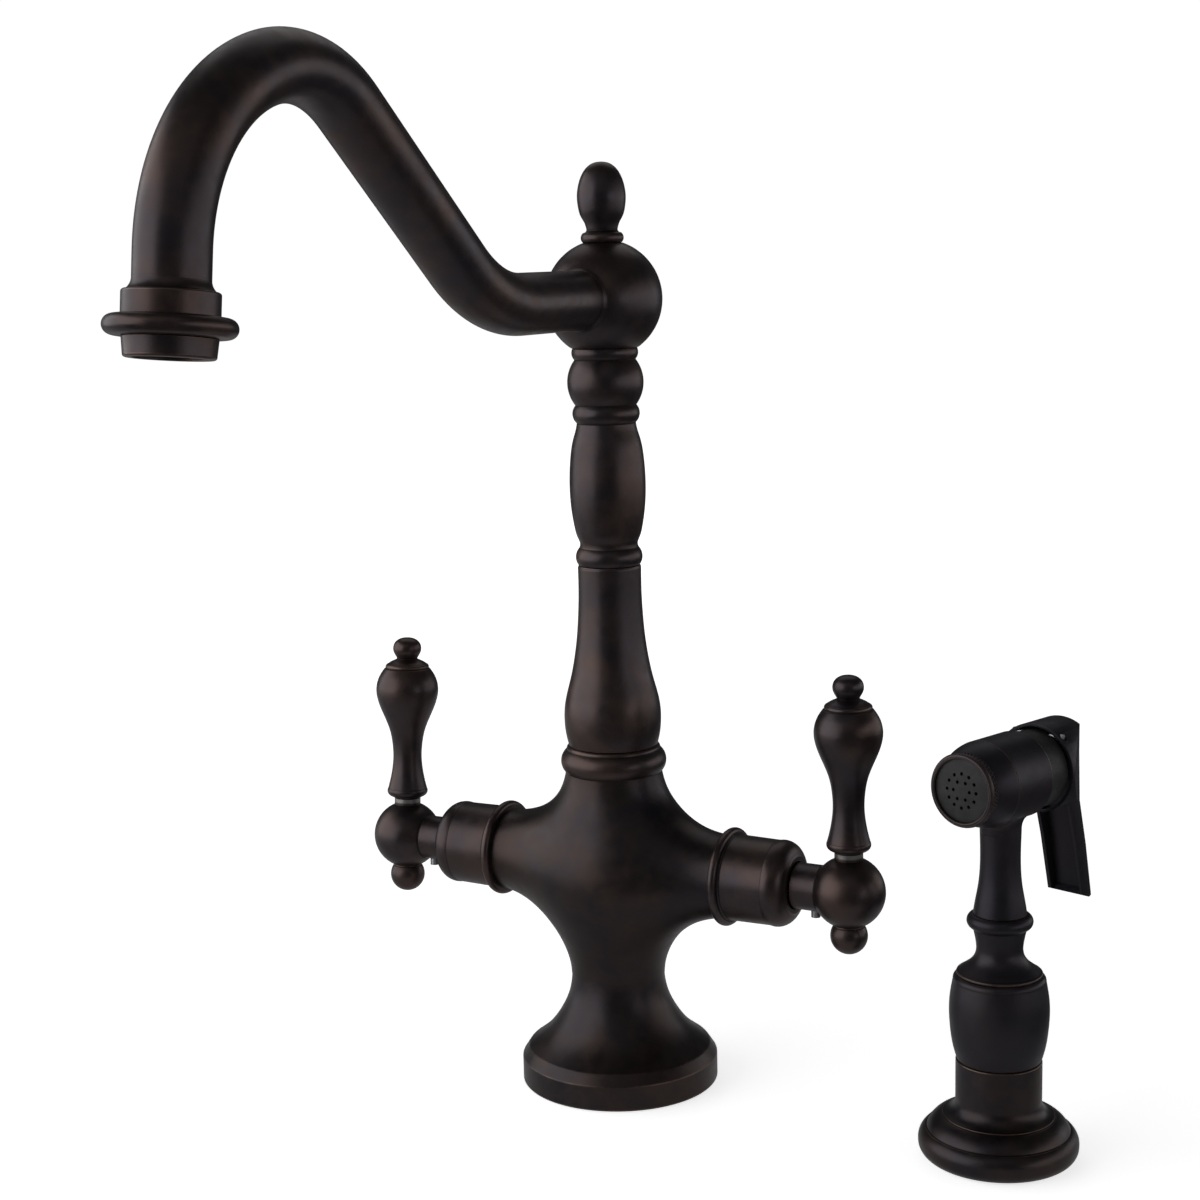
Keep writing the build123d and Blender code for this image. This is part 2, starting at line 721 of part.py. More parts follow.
def nozzle_ring():
    low = cone_front + face_gap
    rim = turned((9.0, low), (knurl_ring_r - 0.3, low), (knurl_ring_r, low + 0.3),
                 (knurl_ring_r, knurl_front - 0.7),
                 ((knurl_ring_r - 0.25, knurl_front - 0.2), (knurl_ring_r - 0.9, knurl_front)),
                 (spray_disc_r + 0.3, knurl_front), (spray_disc_r, knurl_front - 0.4),
                 (spray_disc_r, cone_front + 2.1), (9.0, cone_front + 2.1))
    notch = Pos(knurl_ring_r + 0.12, 0, low + 1.25) * Rot(0, 0, 45) * Box(0.5, 0.5, 1.7)
    return nose * (rim - [spot * notch for spot in PolarLocations(0, knurl_count)])


def spray_disc():
    low = cone_front + 2.1
    face = turned((0, low), (spray_disc_r, low), (spray_disc_r, low + 0.7),
                  ((5.3, low + 1.15), (1.2, low + 1.3)), (0, low + 1.3))
    holes = [Rot(0, 0, 360 * k / outer_holes) * Pos(5.2, 0, 0) for k in range(outer_holes)]
    holes += [Rot(0, 0, 360 * (k + 0.5) / inner_holes) * Pos(2.9, 0, 0) for k in range(inner_holes)]
    for hole in holes:
        face -= hole * rod(spray_hole_r, low, low + 2)
    return nose * face


# ======================================================================== push valve and trigger
valve_r = barrel_r - 1.2
hood_bore = valve_r + hood_gap
hood_r = hood_bore + hood_wall
plate_inside = hood_rear + plate_wall
pin_length = 2 * (arc_height(hood_r, pin_height) - 0.3)


def trigger_pin():
    return head * Pos(pin_x, 0, pin_height) * Rot(90, 0, 0) * Cylinder(pin_r, pin_length)


def valve_body():
    plug = turned((0, valve_rear), (valve_r - valve_edge, valve_rear), (valve_r, valve_rear + valve_edge),
                  (valve_r, barrel_rear), (0, barrel_rear)) + rod(barrel_bore, barrel_rear, barrel_rear + 3.5)
    lug = Box(4.5, 8, 12, align=(Align.MIN, Align.CENTER, Align.MIN))
    lug = head * Pos(valve_rear - 3, 0, valve_r - 6) * lug & nose * rod(valve_r, valve_rear - 3, valve_rear + 1)
    body = nose * plug + lug
    body -= head * Pos(pin_x, 0, pin_height) * Rot(90, 0, 0) * Cylinder(pin_r + slip, 3 * valve_r)
    return body - nose * rod(plunger_r + slip, valve_rear, barrel_rear + 3.5)


def valve_plunger():
    collar_z = barrel_rear + 3.5
    tail = plate_inside + 0.2
    return nose * turned((0, tail), ((plunger_r * 0.7, tail + 0.5), (plunger_r, tail + 1.5)),
                         (plunger_r, collar_z + face_gap), (plunger_collar_r, collar_z + face_gap),
                         (plunger_collar_r, collar_z + 1.5), (0, collar_z + 1.5))


def valve_spring():
    low = barrel_rear + 3.5 + 1.5 + plunger_travel + 0.1
    return nose * coil(plunger_collar_r - 1, wire_r, low, barrel_floor, 4)


def side_taper(front_half, rear_half, front, rear):
    """A wedge seen from above: wide at the hood's mouth and as narrow as the lever at its back."""
    corners = [(front, front_half), (front - 1.2, front_half), (rear, rear_half), (rear, -rear_half),
               (front - 1.2, -front_half), (front, -front_half)]
    return Pos(0, 0, -2 * hood_r) * extrude(make_face(Polyline(*corners, close=True)), 4 * hood_r)


def side_profile(half_width, *corners):
    """A solid from its side view: (forward, up) corners, as wide as the lever."""
    face = make_face(Plane.XZ * Polyline(*corners, close=True))
    return extrude(face, half_width, both=True)


def trigger_lever():
    half = lever_width / 2
    back = hood_rear
    hood = Rot(0, 90, 0) * rod(hood_r, back, hood_front) & side_taper(hood_r, half, hood_front, back)
    tail = side_profile(half, (back, 4), (back - 0.6, -12), (back - 4.4, -27), (back - 7.8, -44.3),
                        (back - 6.7, -44.8), (back - 3.5, -43.6), (back + 1.0, -25), (back + 4.9, -12),
                        (back + 4.9, 4))
    inside = Rot(0, 90, 0) * rod(hood_bore, back + plate_wall, hood_front) & side_taper(
        hood_bore, half - plate_wall, hood_front, back + plate_wall)
    channel = side_profile(half - plate_wall, (back + plate_wall, 0), (back + plate_wall - 0.6, -12),
                           (back + plate_wall - 4.4, -27), (back + plate_wall - 7.2, -42.0), (back - 2, -46),
                           (back + 4, -30), (back + 12, -13), (back + 12, 0))
    lever = hood + tail - inside - channel
    return head * (lever - Pos(pin_x, 0, pin_height) * Rot(90, 0, 0) * Cylinder(pin_r, 3 * hood_r))


# ======================================================================== write the pieces
pieces = [faucet_body, base_gasket, inlet_manifold, swivel_nut, swivel_washer, swivel_o_rings, diverter_cage,
          diverter_piston, diverter_spring, lower_column, upper_column, spout_hub, hub_finial, spout_tube,
          spout_collar, aerator_ring, aerator_shell, aerator_washer, aerator_screen, sprayer_flange,
          flange_gasket, sprayer_holder, holder_bush, sprayer_grip, hose_nipple, sprayer_neck, sprayer_wand,
          nozzle_washer, nozzle_cone, nozzle_ring, spray_disc, valve_body, valve_plunger, valve_spring,
          trigger_lever, trigger_pin]
valve_pieces = {"bonnet": bonnet, "seat_seal": seat_seal, "cartridge": cartridge, "fixed_disc": fixed_disc,
                "moving_disc": moving_disc, "stem": valve_stem, "hub": handle_hub, "lever": handle_lever,
                "lever_finial": lever_finial, "tail_knob": tail_knob, "set_screw": set_screw}

for piece in pieces:
    save(piece(), piece.__name__)
for side_name, side in (("hot", -1), ("cold", 1)):
    for name, piece in valve_pieces.items():
        save(piece(side), f"{side_name}_{name}")
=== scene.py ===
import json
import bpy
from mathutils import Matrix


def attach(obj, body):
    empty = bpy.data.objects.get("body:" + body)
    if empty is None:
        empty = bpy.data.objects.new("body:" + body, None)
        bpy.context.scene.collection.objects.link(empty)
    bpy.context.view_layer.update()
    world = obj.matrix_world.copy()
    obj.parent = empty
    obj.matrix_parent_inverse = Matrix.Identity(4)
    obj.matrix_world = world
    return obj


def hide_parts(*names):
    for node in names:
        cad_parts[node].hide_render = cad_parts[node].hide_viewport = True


bl_info = {
    "name": "Two handle kitchen faucet",
    "version": (1, 0, 0),
    "blender": (4, 5, 0),
    "location": "View3D > Sidebar > Faucet",
    "description": "Dresses the packed faucet and its side sprayer in turned, cast and satin bronze surfaces",
    "category": "Add Mesh",
}

import bmesh
import bpy
import numpy as np
from bpy.props import FloatProperty, FloatVectorProperty, PointerProperty
from mathutils import Matrix

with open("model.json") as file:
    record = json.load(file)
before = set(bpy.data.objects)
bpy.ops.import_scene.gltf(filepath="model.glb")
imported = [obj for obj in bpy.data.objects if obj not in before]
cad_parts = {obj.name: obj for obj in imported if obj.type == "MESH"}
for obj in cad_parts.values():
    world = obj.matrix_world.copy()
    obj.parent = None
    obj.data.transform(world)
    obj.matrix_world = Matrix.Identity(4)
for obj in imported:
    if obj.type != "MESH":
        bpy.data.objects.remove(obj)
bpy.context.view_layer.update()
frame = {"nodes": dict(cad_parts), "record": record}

MM = 0.001
UP = np.array([0.0, 0.0, 1.0])
HANDS = (-1, "hot"), (1, "cold")
SHARP_FROM = 0.14  # radians: a corner of an outline that bends less isn't rounded
FULLY_SHARP = 1.6  # radians per millimetre: an edge that bends so much counts as one


# ================================================================ outlines
def gaps(points):
    """Distance from each point to the next."""
    return np.hypot(*np.diff(points, axis=0).T)


def travelled(points):
    """Distance along a line of points, up to each of them."""
    return np.r_[0, np.cumsum(gaps(points))]


def smooth_curve(knots, steps=7):
    """Natural cubic spline by chord length: every span is the cubic whose second derivatives agree at
    the knots and vanish at both ends."""
    knots = np.asarray(knots, float)
    t = travelled(knots)
    gap = np.diff(t)
    n = len(t)
    system = np.eye(n)
    right = np.zeros((n, 2))
    inner = np.arange(1, n - 1)
    system[inner, inner - 1] = gap[:-1]
    system[inner, inner] = 2 * (gap[:-1] + gap[1:])
    system[inner, inner + 1] = gap[1:]
    slope = np.diff(knots, axis=0) / gap[:, None]
    right[1:-1] = 6 * np.diff(slope, axis=0)
    bend = np.linalg.solve(system, right)
    where = np.linspace(t[0], t[-1], steps * (n - 1) + 1)
    span = np.clip(np.searchsorted(t, where, side="right") - 1, 0, n - 2)
    a = ((t[span + 1] - where) / gap[span])[:, None]
    b = 1 - a
    cubic = (a**3 - a) * bend[span] + (b**3 - b) * bend[span + 1]
    return a * knots[span] + b * knots[span + 1] + (gap[span] ** 2)[:, None] / 6 * cubic


def arc_curve(start, middle, end, step=0.09):
    """Circle through three points: its centre is where the perpendicular bisectors of the two chords meet,
    and the curve takes equal steps of angle from the start by way of the middle."""
    a, b, c = (np.asarray(p, float) for p in (start, middle, end))
    centre = np.linalg.solve(2 * np.array([b - a, c - a]), [b @ b - a @ a, c @ c - a @ a])
    angle = np.arctan2(*np.array([p - centre for p in (a, b, c)]).T[::-1])
    whole = (angle[2] - angle[0]) % (2 * np.pi)
    if (angle[1] - angle[0]) % (2 * np.pi) > whole:
        whole -= 2 * np.pi
    turns = angle[0] + np.linspace(0, whole, max(4, int(abs(whole) / step) + 2))
    return centre + np.hypot(*(a - centre)) * np.stack([np.cos(turns), np.sin(turns)], 1)


def cut_run(run, low, high, support, step):
    """The part of a run between two distances from its ends, with extra points near cut ends and, where a
    step is asked for, at least one point every so often."""
    along = travelled(run)
    length = along[-1]
    marks = [along, [low, length - high]]
    if step:
        marks.append(np.linspace(low, length - high, int((length - low - high) / step) + 2))
    if low and length > 4 * support:
        marks.append([low + support])
    if high and length > 4 * support:
        marks.append([length - high - support])
    where = np.unique(np.concatenate(marks).round(7))
    where = where[(where >= low - 1e-6) & (where <= length - high + 1e-6)]
    return np.stack([np.interp(where, along, run[:, i]) for i in (0, 1)], 1)


def outline(start, *moves, edge=0.22, closed=None, step=0):
    """Points (radius, height) of a turned shape. A pair is a straight move, two pairs are an arc by way of
    the first one, and a list is a smooth curve through its points. A corner is rounded by the quadratic
    curve that starts and ends an edge's width away from it and is drawn towards it."""
    closed = start[0] > 0 if closed is None else closed
    runs = []
    here = start
    for move in moves:
        if isinstance(move, list):
            runs.append(smooth_curve([here, *move]))
        elif isinstance(move[0], tuple):
            runs.append(arc_curve(here, *move))
        else:
            runs.append(np.array([here, move], float))
        here = tuple(runs[-1][-1])
    if closed:
        runs.append(np.array([here, start], float))
    count = len(runs)
    lengths = [gaps(run).sum() for run in runs]
    cuts = np.zeros((count, 2))
    for i in range(count if closed else count - 1):
        j = (i + 1) % count
        leave = runs[i][-1] - runs[i][-2]
        arrive = runs[j][1] - runs[j][0]
        bend = abs(np.arctan2(leave[0] * arrive[1] - leave[1] * arrive[0], leave @ arrive))
        if bend > SHARP_FROM:
            cuts[i, 1] = cuts[j, 0] = min(edge, 0.4 * lengths[i], 0.4 * lengths[j])
    pieces = []
    ease = np.array([0.25, 0.5, 0.75])[:, None]
    support = 0.7 * edge
    for i in range(count):
        run = cut_run(runs[i], *cuts[i], support, step)
        pieces.append(run)
        if cuts[i, 1]:
            j = (i + 1) % count
            after = cut_run(runs[j], *cuts[j], support, 0)[0]
            pieces.append((1 - ease) ** 2 * run[-1] + 2 * ease * (1 - ease) * runs[i][-1] + ease**2 * after)
    points = np.concatenate(pieces)
    points = points[np.r_[True, gaps(points) > 1e-5]]
    if closed and np.hypot(*(points[0] - points[-1])) < 1e-5:
        points = points[:-1]
    return points


def fitted(radius, low, high, *moves):
    """Moves of an outline that are given as shares of a radius and of the way from one height to another."""
    def place(point):
        return point[0] * radius, low + point[1] * (high - low)

    return [[place(point) for point in move] if isinstance(move, list)
            else tuple(place(point) for point in move) if isinstance(move[0], tuple)
            else place(move) for move in moves]


def edge_and_run(points, closed):
    """For every outline point, how sharply it stands out (+) or is cut in (-), from the angle between its
    neighbours over their distance, and its distance along the outline."""
    if closed:
        before, after = np.roll(points, 1, 0), np.roll(points, -1, 0)
    else:
        before, after = np.r_[points[:1], points[:-1]], np.r_[points[1:], points[-1:]]
    a, b = points - before, after - points
    size = np.hypot(*a.T) + np.hypot(*b.T) + 1e-9
    bend = np.arctan2(a[:, 0] * b[:, 1] - a[:, 1] * b[:, 0], (a * b).sum(1)) / (0.5 * size)
    x, y = points.T
    area = (x * np.roll(y, -1) - np.roll(x, -1) * y).sum()
    return np.clip(np.sign(area) * bend / FULLY_SHARP, -1, 1), travelled(points)


# ================================================================ surfaces
def put(name, data):
    """A new object with this data, linked into the scene."""
    item = bpy.data.objects.new(name, data)
    bpy.context.scene.collection.objects.link(item)
    return item


class Surface:
    """Vertices in millimetres, faces of four and three corners, and three marks on every vertex: how sharp
    its edge is, how far along the outline it lies and whether its metal is bare."""

    def __init__(self, points, quads, tris=(), **marks):
        self.points = np.asarray(points, float)
        self.quads = np.asarray(quads, int).reshape(-1, 4)
        self.tris = np.asarray(tris, int).reshape(-1, 3)
        self.marks = {name: marks.get(name, np.zeros(len(self.points))) for name in ("edge", "run", "bare")}

    def __add__(self, other):
        shift = len(self.points)
        return Surface(np.r_[self.points, other.points], np.r_[self.quads, other.quads + shift],
                       np.r_[self.tris, other.tris + shift],
                       **{name: np.r_[mark, other.marks[name]] for name, mark in self.marks.items()})

    def moved(self, turn, offset=(0, 0, 0)):
        """Turned by a matrix whose columns are where the three axes go, then shifted."""
        return Surface(self.points @ np.asarray(turn, float).T + offset, self.quads, self.tris, **self.marks)

    def welded(self):
        """Vertices at one place, to a ten-thousandth of a millimetre, become one. A face of four corners with
        two neighbours that fall together becomes one of three, and one with more is dropped."""
        _, first, same = np.unique(self.points.round(4), axis=0, return_index=True, return_inverse=True)
        same = same.ravel()
        quads, tris = same[self.quads], same[self.tris]
        double = quads == np.roll(quads, -1, 1)
        once = double.sum(1) == 1
        tris = np.r_[tris, quads[once][~double[once]].reshape(-1, 3)]
        tris = tris[(tris[:, 0] != tris[:, 1]) & (tris[:, 1] != tris[:, 2]) & (tris[:, 2] != tris[:, 0])]
        return Surface(self.points[first], quads[~double.any(1)], tris,
                       **{name: mark[first] for name, mark in self.marks.items()})

    def outward(self):
        """Faces turned so that the volume, a sixth of the sum of the corners' triple products, is positive."""
        t = np.r_[self.quads[:, [0, 1, 2]], self.quads[:, [0, 2, 3]], self.tris]
        a, b, c = (self.points[t[:, k]] for k in range(3))
        if (a * np.cross(b, c)).sum() < 0:
            self.quads, self.tris = self.quads[:, ::-1], self.tris[:, ::-1]

    def piece(self, name, body, nodes, look="bronze"):
        """A Blender object from this surface, riding on a body and standing for its solids."""
        self.outward()
        mesh = bpy.data.meshes.new(name)
        corners = np.r_[self.quads.ravel(), self.tris.ravel()]
        sizes = np.r_[np.full(len(self.quads), 4), np.full(len(self.tris), 3)]
        mesh.vertices.add(len(self.points))
        mesh.vertices.foreach_set("co", (self.points * MM).astype(np.float32).ravel())
        mesh.loops.add(len(corners))
        mesh.loops.foreach_set("vertex_index", corners.astype(np.int32))
        mesh.polygons.add(len(sizes))
        mesh.polygons.foreach_set("loop_start", (np.cumsum(sizes) - sizes).astype(np.int32))
        mesh.update(calc_edges=True)
        mesh.validate()
        mesh.shade_smooth()
        for label, mark in self.marks.items():
            mesh.attributes.new(label, "FLOAT", "POINT").data.foreach_set("value", mark.astype(np.float32))
        mesh.materials.append(make_finishes()[look])
        piece = put(name, mesh)
        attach(piece, body)
        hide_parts(*nodes)
        return piece


def grid_faces(rows, columns, wrap_rows=False, wrap_columns=False):
    """Quads between neighbours of a grid of vertices, numbered row by row."""
    index = np.arange(rows * columns).reshape(rows, columns)
    if wrap_rows:
        index = np.r_[index, index[:1]]
    if wrap_columns:
        index = np.c_[index, index[:, :1]]
    return np.stack([index[:-1, :-1], index[:-1, 1:], index[1:, 1:], index[1:, :-1]], -1).reshape(-1, 4)


def angles(sides):
    """Equal steps round a circle."""
    return np.linspace(0, 2 * np.pi, sides, endpoint=False)


def rings(r, z, around):
    """Points x = r cos a, y = r sin a at height z, for every angle a."""
    return np.stack([r * np.cos(around), r * np.sin(around), z + 0 * around], -1)


def turned(points, sides=112, shape=None, path=None, closed=None):
    """Surface of revolution: x = r cos a, y = r sin a at every height of the outline. A shape may change r
    from r, a and the height, and a path may carry the heights along a bent line. Where the outline starts
    and ends on the axis, each end is one vertex."""
    closed = points[0, 0] > 1e-6 if closed is None else closed
    around = angles(sides)
    r, z = points[:, :1] + 0 * around, points[:, 1:] + 0 * around
    if shape is not None:
        r = shape(r, around + 0 * r, z)
    cloud = rings(r, z, around)
    if path is not None:
        cloud = path(cloud)
    edge, run = (np.repeat(mark, sides) for mark in edge_and_run(points, closed))
    surface = Surface(cloud.reshape(-1, 3), grid_faces(len(points), sides, closed, True), edge=edge, run=run)
    on_axis = points[0, 0] < 1e-6 or points[-1, 0] < 1e-6
    return surface.welded() if on_axis and not closed else surface


def turn_all(body, look, place, *parts, sides=128):
    """Turned pieces at one place: for each its name, the solid that it stands for and its outline."""
    for name, node, line in parts:
        turned(line, sides).moved(*place).piece(name, body, [node], look)


def upright(x, y):
    """Axes and origin of a turned piece that stands over a point of the deck."""
    return np.eye(3), (x, y, 0)


def out_along(side, height):
    """Heights become distances out along +X or -X, and the outline's first direction points down."""
    return np.array([[0, 0, side], [0, side, 0], [-1, 0, 0]], float), (0, 0, height)


def about_arm(degrees, height):
    """A handle leant back by an angle about its arm's axis."""
    c, s = np.cos(np.radians(degrees)), np.sin(np.radians(degrees))
    turn = np.array([[1, 0, 0], [0, c, s], [0, -s, c]])
    return turn, np.array([0, 0, height]) - turn @ [0, 0, height]


# ================================================================ shader maths
class Wire:
    """An output socket. Arithmetic on wires adds Math nodes, and colours are mixed by a wire."""

    def __init__(self, finish, socket):
        self.finish = finish
        self.socket = socket

    def maths(self, operation, *values):
        """A Math node."""
        return self.finish.add("ShaderNodeMath", values, operation=operation)

    def __add__(self, other):
        return self.maths("ADD", self, other)

    def __sub__(self, other):
        return self.maths("SUBTRACT", self, other)

    def __rsub__(self, other):
        return self.maths("SUBTRACT", other, self)

    def __mul__(self, other):
        return self.maths("MULTIPLY", self, other)

    __radd__ = __add__
    __rmul__ = __mul__

    def between(self, low, high, to_low=0.0, to_high=1.0):
        """Smoothly mapped from one range to another, and held at its ends."""
        return self.finish.add("ShaderNodeMapRange", {"Value": self, "From Min": low, "From Max": high,
                                                      "To Min": to_low, "To Max": to_high},
                               interpolation_type="SMOOTHSTEP")

    def colour(self, at_none, at_all):
        """The colour between two colours that this wire picks."""
        return self.finish.add("ShaderNodeMix", {"Factor": self, 6: at_none, 7: at_all}, output=2,
                               data_type="RGBA", clamp_factor=True)


class Finish:
    """A material around one Principled shader."""

    def __init__(self, name, **constants):
        self.material = bpy.data.materials.new(name)
        self.material.use_nodes = True
        self.tree = self.material.node_tree
        self.shader = self.tree.nodes["Principled BSDF"]
        for key, value in constants.items():
            self.shader.inputs[key.replace("_", " ").title().replace("Ior", "IOR")].default_value = value

    def add(self, kind, inputs=(), output=0, **settings):
        """A node of a kind, with its settings made first and then its sockets set or linked."""
        node = self.tree.nodes.new(kind)
        for key, value in settings.items():
            setattr(node, key, value)
        for key, value in inputs.items() if isinstance(inputs, dict) else enumerate(inputs):
            socket = node.inputs[key]
            if isinstance(value, Wire):
                self.tree.links.new(value.socket, socket)
            else:
                socket.default_value = (*value, 1.0) if socket.type == "RGBA" and len(value) == 3 else value
        return Wire(self, node.outputs[output])

    def place(self):
        """The piece's own coordinates, in metres."""
        return self.add("ShaderNodeTexCoord", output="Object")

    def noise(self, vector, scale, detail=3.0, roughness=0.55):
        """A grey noise about one half, with so many swells in a metre."""
        return self.add("ShaderNodeTexNoise", {"Vector": vector, "Scale": scale, "Detail": detail,
                                               "Roughness": roughness})

    def field(self, name):
        """A mark of the surface."""
        return self.add("ShaderNodeAttribute", output="Fac", attribute_name=name)

    def wear_and_shade(self, mottle, low, high):
        """How far proud edges are rubbed, unevenly, and how deep in a crease a place lies, which sets where
        painted shade goes into grooves.
        """
        edge = self.field("edge")
        return (edge * (mottle * 1.4 + 0.1)).between(low, high), (edge * -1.0).between(0.05, 0.6)

    def bump(self, height, strength, distance):
        """A normal tilted by a height."""
        return self.add("ShaderNodeBump", {"Height": height, "Strength": strength, "Distance": distance})

    def feed(self, **wires):
        """Links wires to the shader's sockets, and gives the material."""
        for key, wire in wires.items():
            self.tree.links.new(wire.socket, self.shader.inputs[key.replace("_", " ").title()])
        return self.material


def bronze_finish(name, colours, dark, warm, warmth):
    """Oil-rubbed bronze: a near-black skin with brown clouds, a warmer rub on proud edges, a dark line of
    painted shade in grooves, and fine marks left by turning that follow the piece's own outline."""
    finish = Finish(name, metallic=0.92, specular_tint=(1.0, 1.0, 1.0, 1.0))
    place = finish.place()
    cloud = finish.noise(place, 44.0).between(0.34, 0.68)
    mottle = finish.noise(place, 210.0, 4.0, 0.6)
    grain = finish.noise(place, 2600.0, 2.0)
    turning = finish.add("ShaderNodeCombineXYZ", {"X": mottle * 0.6, "Y": 0.0, "Z": finish.field("run") * 7.0})
    lines = finish.noise(turning, 1.0, 3.0, 0.7)
    rub, groove_shade = finish.wear_and_shade(mottle, 0.12, 0.85)
    skin = (cloud * warmth + mottle.between(0.35, 0.75) * 0.25).colour(dark, warm)
    # Painted shade: near-black laid into grooves and creases by the concave edge mark, standing in for their
    # shadow lines.
    worn_and_shaded = (groove_shade * 0.75).colour((rub * 0.7).colour(skin, colours.rubbed), colours.groove_shade)
    base = finish.field("bare").colour(worn_and_shaded, colours.bare)
    rough = mottle.between(0.3, 0.7, 0.33, 0.43) + (lines - 0.5) * 0.07 + groove_shade * 0.16 - rub * 0.05
    height = lines + grain * 0.16 + mottle * 0.2
    return finish.feed(base_color=base, roughness=rough, normal=finish.bump(height, 0.5, 0.00002))


def shell_finish(name, colours):
    """Satin lacquer on moulded plastic: an even charcoal brown with a slight orange-peel, a rub on proud edges and
    painted shade in grooves.
    """
    finish = Finish(name, metallic=0.8)
    place = finish.place()
    cloud = finish.noise(place, 34.0).between(0.36, 0.66)
    peel = finish.noise(place, 900.0, 2.0)
    mottle = finish.noise(place, 240.0, 4.0, 0.6)
    rub, groove_shade = finish.wear_and_shade(mottle, 0.15, 0.9)
    skin = (cloud * 0.45 + mottle.between(0.35, 0.75) * 0.2).colour(colours.shell, colours.shell_warm)
    # Painted shade: near-black laid into grooves and creases by the concave edge mark, standing in for their
    # shadow lines.
    base = (groove_shade * 0.7).colour((rub * 0.45).colour(skin, colours.rubbed), colours.groove_shade)
    rough = mottle.between(0.3, 0.7, 0.39, 0.48) + groove_shade * 0.12
    return finish.feed(base_color=base, roughness=rough, normal=finish.bump(peel + mottle, 0.16, 0.00004))


def plain_finish(name, colour, second, metallic, rough, scale, bump=0.1, level=0.5):
    """A plain material with two close colours in a fine noise, and a roughness and bump from it."""
    finish = Finish(name, metallic=metallic, specular_ior_level=level)
    place = finish.place()
    mottle = finish.noise(place, scale, 4.0, 0.6)
    fine = finish.noise(place, scale * 7, 2.0)
    base = mottle.between(0.3, 0.7).colour(colour, second)
    return finish.feed(base_color=base, roughness=fine.between(0.3, 0.7, *rough),
                       normal=finish.bump(mottle + fine, bump, 0.00003))


# For each slot: the material's name, the first colour's key, the second colour, metallic, the range of
# roughness and the noise's scale, and where they differ from the rest, the bump and the specular level.
PLAIN = {
    "plain_brass": ("machined_brass", "brass", (0.62, 0.44, 0.2), 1.0, (0.22, 0.36), 420.0),
    "steel": ("satin_steel", "steel", (0.34, 0.34, 0.35), 1.0, (0.28, 0.42), 500.0),
    "seal_rubber": ("seal_rubber", "rubber", (0.03, 0.03, 0.031), 0.0, (0.6, 0.8), 350.0),
    "ceramic": ("polished_ceramic", "ceramic", (0.8, 0.79, 0.75), 0.0, (0.12, 0.2), 200.0),
    "black_plastic": ("black_plastic", "plastic", (0.02, 0.02, 0.021), 0.0, (0.42, 0.56), 260.0, 0.16, 0.22),
}


# ================================================================ what a user may change
def length(name, words, value):
    """A length, given in millimetres."""
    return FloatProperty(name=name, description=words, default=value * MM, unit="LENGTH", precision=4)


def colour(name, words, value):
    """A linear colour."""
    return FloatVectorProperty(name=name, description=words, default=value, subtype="COLOR", min=0, max=1)


def power(name, words, value):
    """A light's power in watts."""
    return FloatProperty(name=name, description=words, default=value, unit="POWER")


class FaucetSizes(bpy.types.PropertyGroup):
    handle_height: length("Handle height", "Height of the valve arms' axis above the deck", 75.8)
    lever_reach: length("Lever reach", "Distance of a lever's axis from the column's axis", 84.7)
    ball_height: length("Ball height", "Height of the ball's centre above the deck", 264.6)
    tube_radius: length("Tube radius", "Outer radius of the spout tube", 9.5)
    blend_above: length("Blend above", "How far the body's arms melt into the neck", 24.5)
    blend_below: length("Blend below", "How far the body's arms melt into the waist", 29.5)


class SprayerSizes(bpy.types.PropertyGroup):
    side: length("Side", "Distance of the sprayer to the side of the column", 137.0)
    front: length("Front", "Distance of the sprayer in front of the column", 6.9)
    head_height: length("Head height", "Height of the spray head's axis above the deck", 120.05)
    head_turn: FloatProperty(name="Head turn", description="How far the head looks round from straight ahead",
                             default=np.radians(16.8), subtype="ANGLE")


class FinishColours(bpy.types.PropertyGroup):
    dark: colour("Dark", "The bronze skin's near-black", (0.041, 0.036, 0.041))
    warm: colour("Warm", "The brown clouds in the bronze skin", (0.082, 0.055, 0.046))
    # Painted shade: the castings' skin is the bronze darkened, a shaded copy for the weaker light on the low body
    # and deck holder.
    cast_shaded_dark: colour("Casting, dark", "The skin of the body casting and deck holder", (0.028, 0.025, 0.029))
    cast_shaded_warm: colour("Casting, warm", "The brown clouds in that darker skin", (0.060, 0.041, 0.033))
    rubbed: colour("Rubbed", "Proud edges, rubbed towards the bare metal", (0.13, 0.090, 0.074))
    # Painted shade: the near-black laid into grooves and creases, standing in for their shadow lines.
    groove_shade: colour("Groove", "Grime in the grooves", (0.010, 0.008, 0.008))
    bare: colour("Bare", "The bare metal of the levers' collars", (0.24, 0.235, 0.225))
    shell: colour("Shell", "The sprayer's charcoal lacquer", (0.022, 0.020, 0.026))
    shell_warm: colour("Shell, warm", "The brown clouds in the sprayer's lacquer", (0.036, 0.029, 0.030))
    brass: colour("Brass", "Machined inner pieces", (0.72, 0.53, 0.26))
    steel: colour("Steel", "Springs, screws and pins", (0.42, 0.42, 0.43))
    rubber: colour("Rubber", "Seals and gaskets", (0.018, 0.018, 0.019))
    ceramic: colour("Ceramic", "Valve discs", (0.86, 0.85, 0.80))
    plastic: colour("Plastic", "Black moulded pieces", (0.012, 0.012, 0.013))


class StudioLight(bpy.types.PropertyGroup):
    floor_tint: colour("Floor", "The pale floor", (0.93, 0.93, 0.93))
    left_power: power("Left", "Power of the left softbox", 16.5)
    right_power: power("Right", "Power of the right softbox", 5.4)
    top_power: power("Top", "Power of the overhead softbox", 2.6)
    front_power: power("Front", "Power of the dim panel above the camera", 0.5)
    card_power: power("Card", "Power of the white card's glow on the floor", 1.1)


finishes = {}


def sizes():
    """The faucet's sizes, in metres."""
    return bpy.context.scene.faucet_sizes


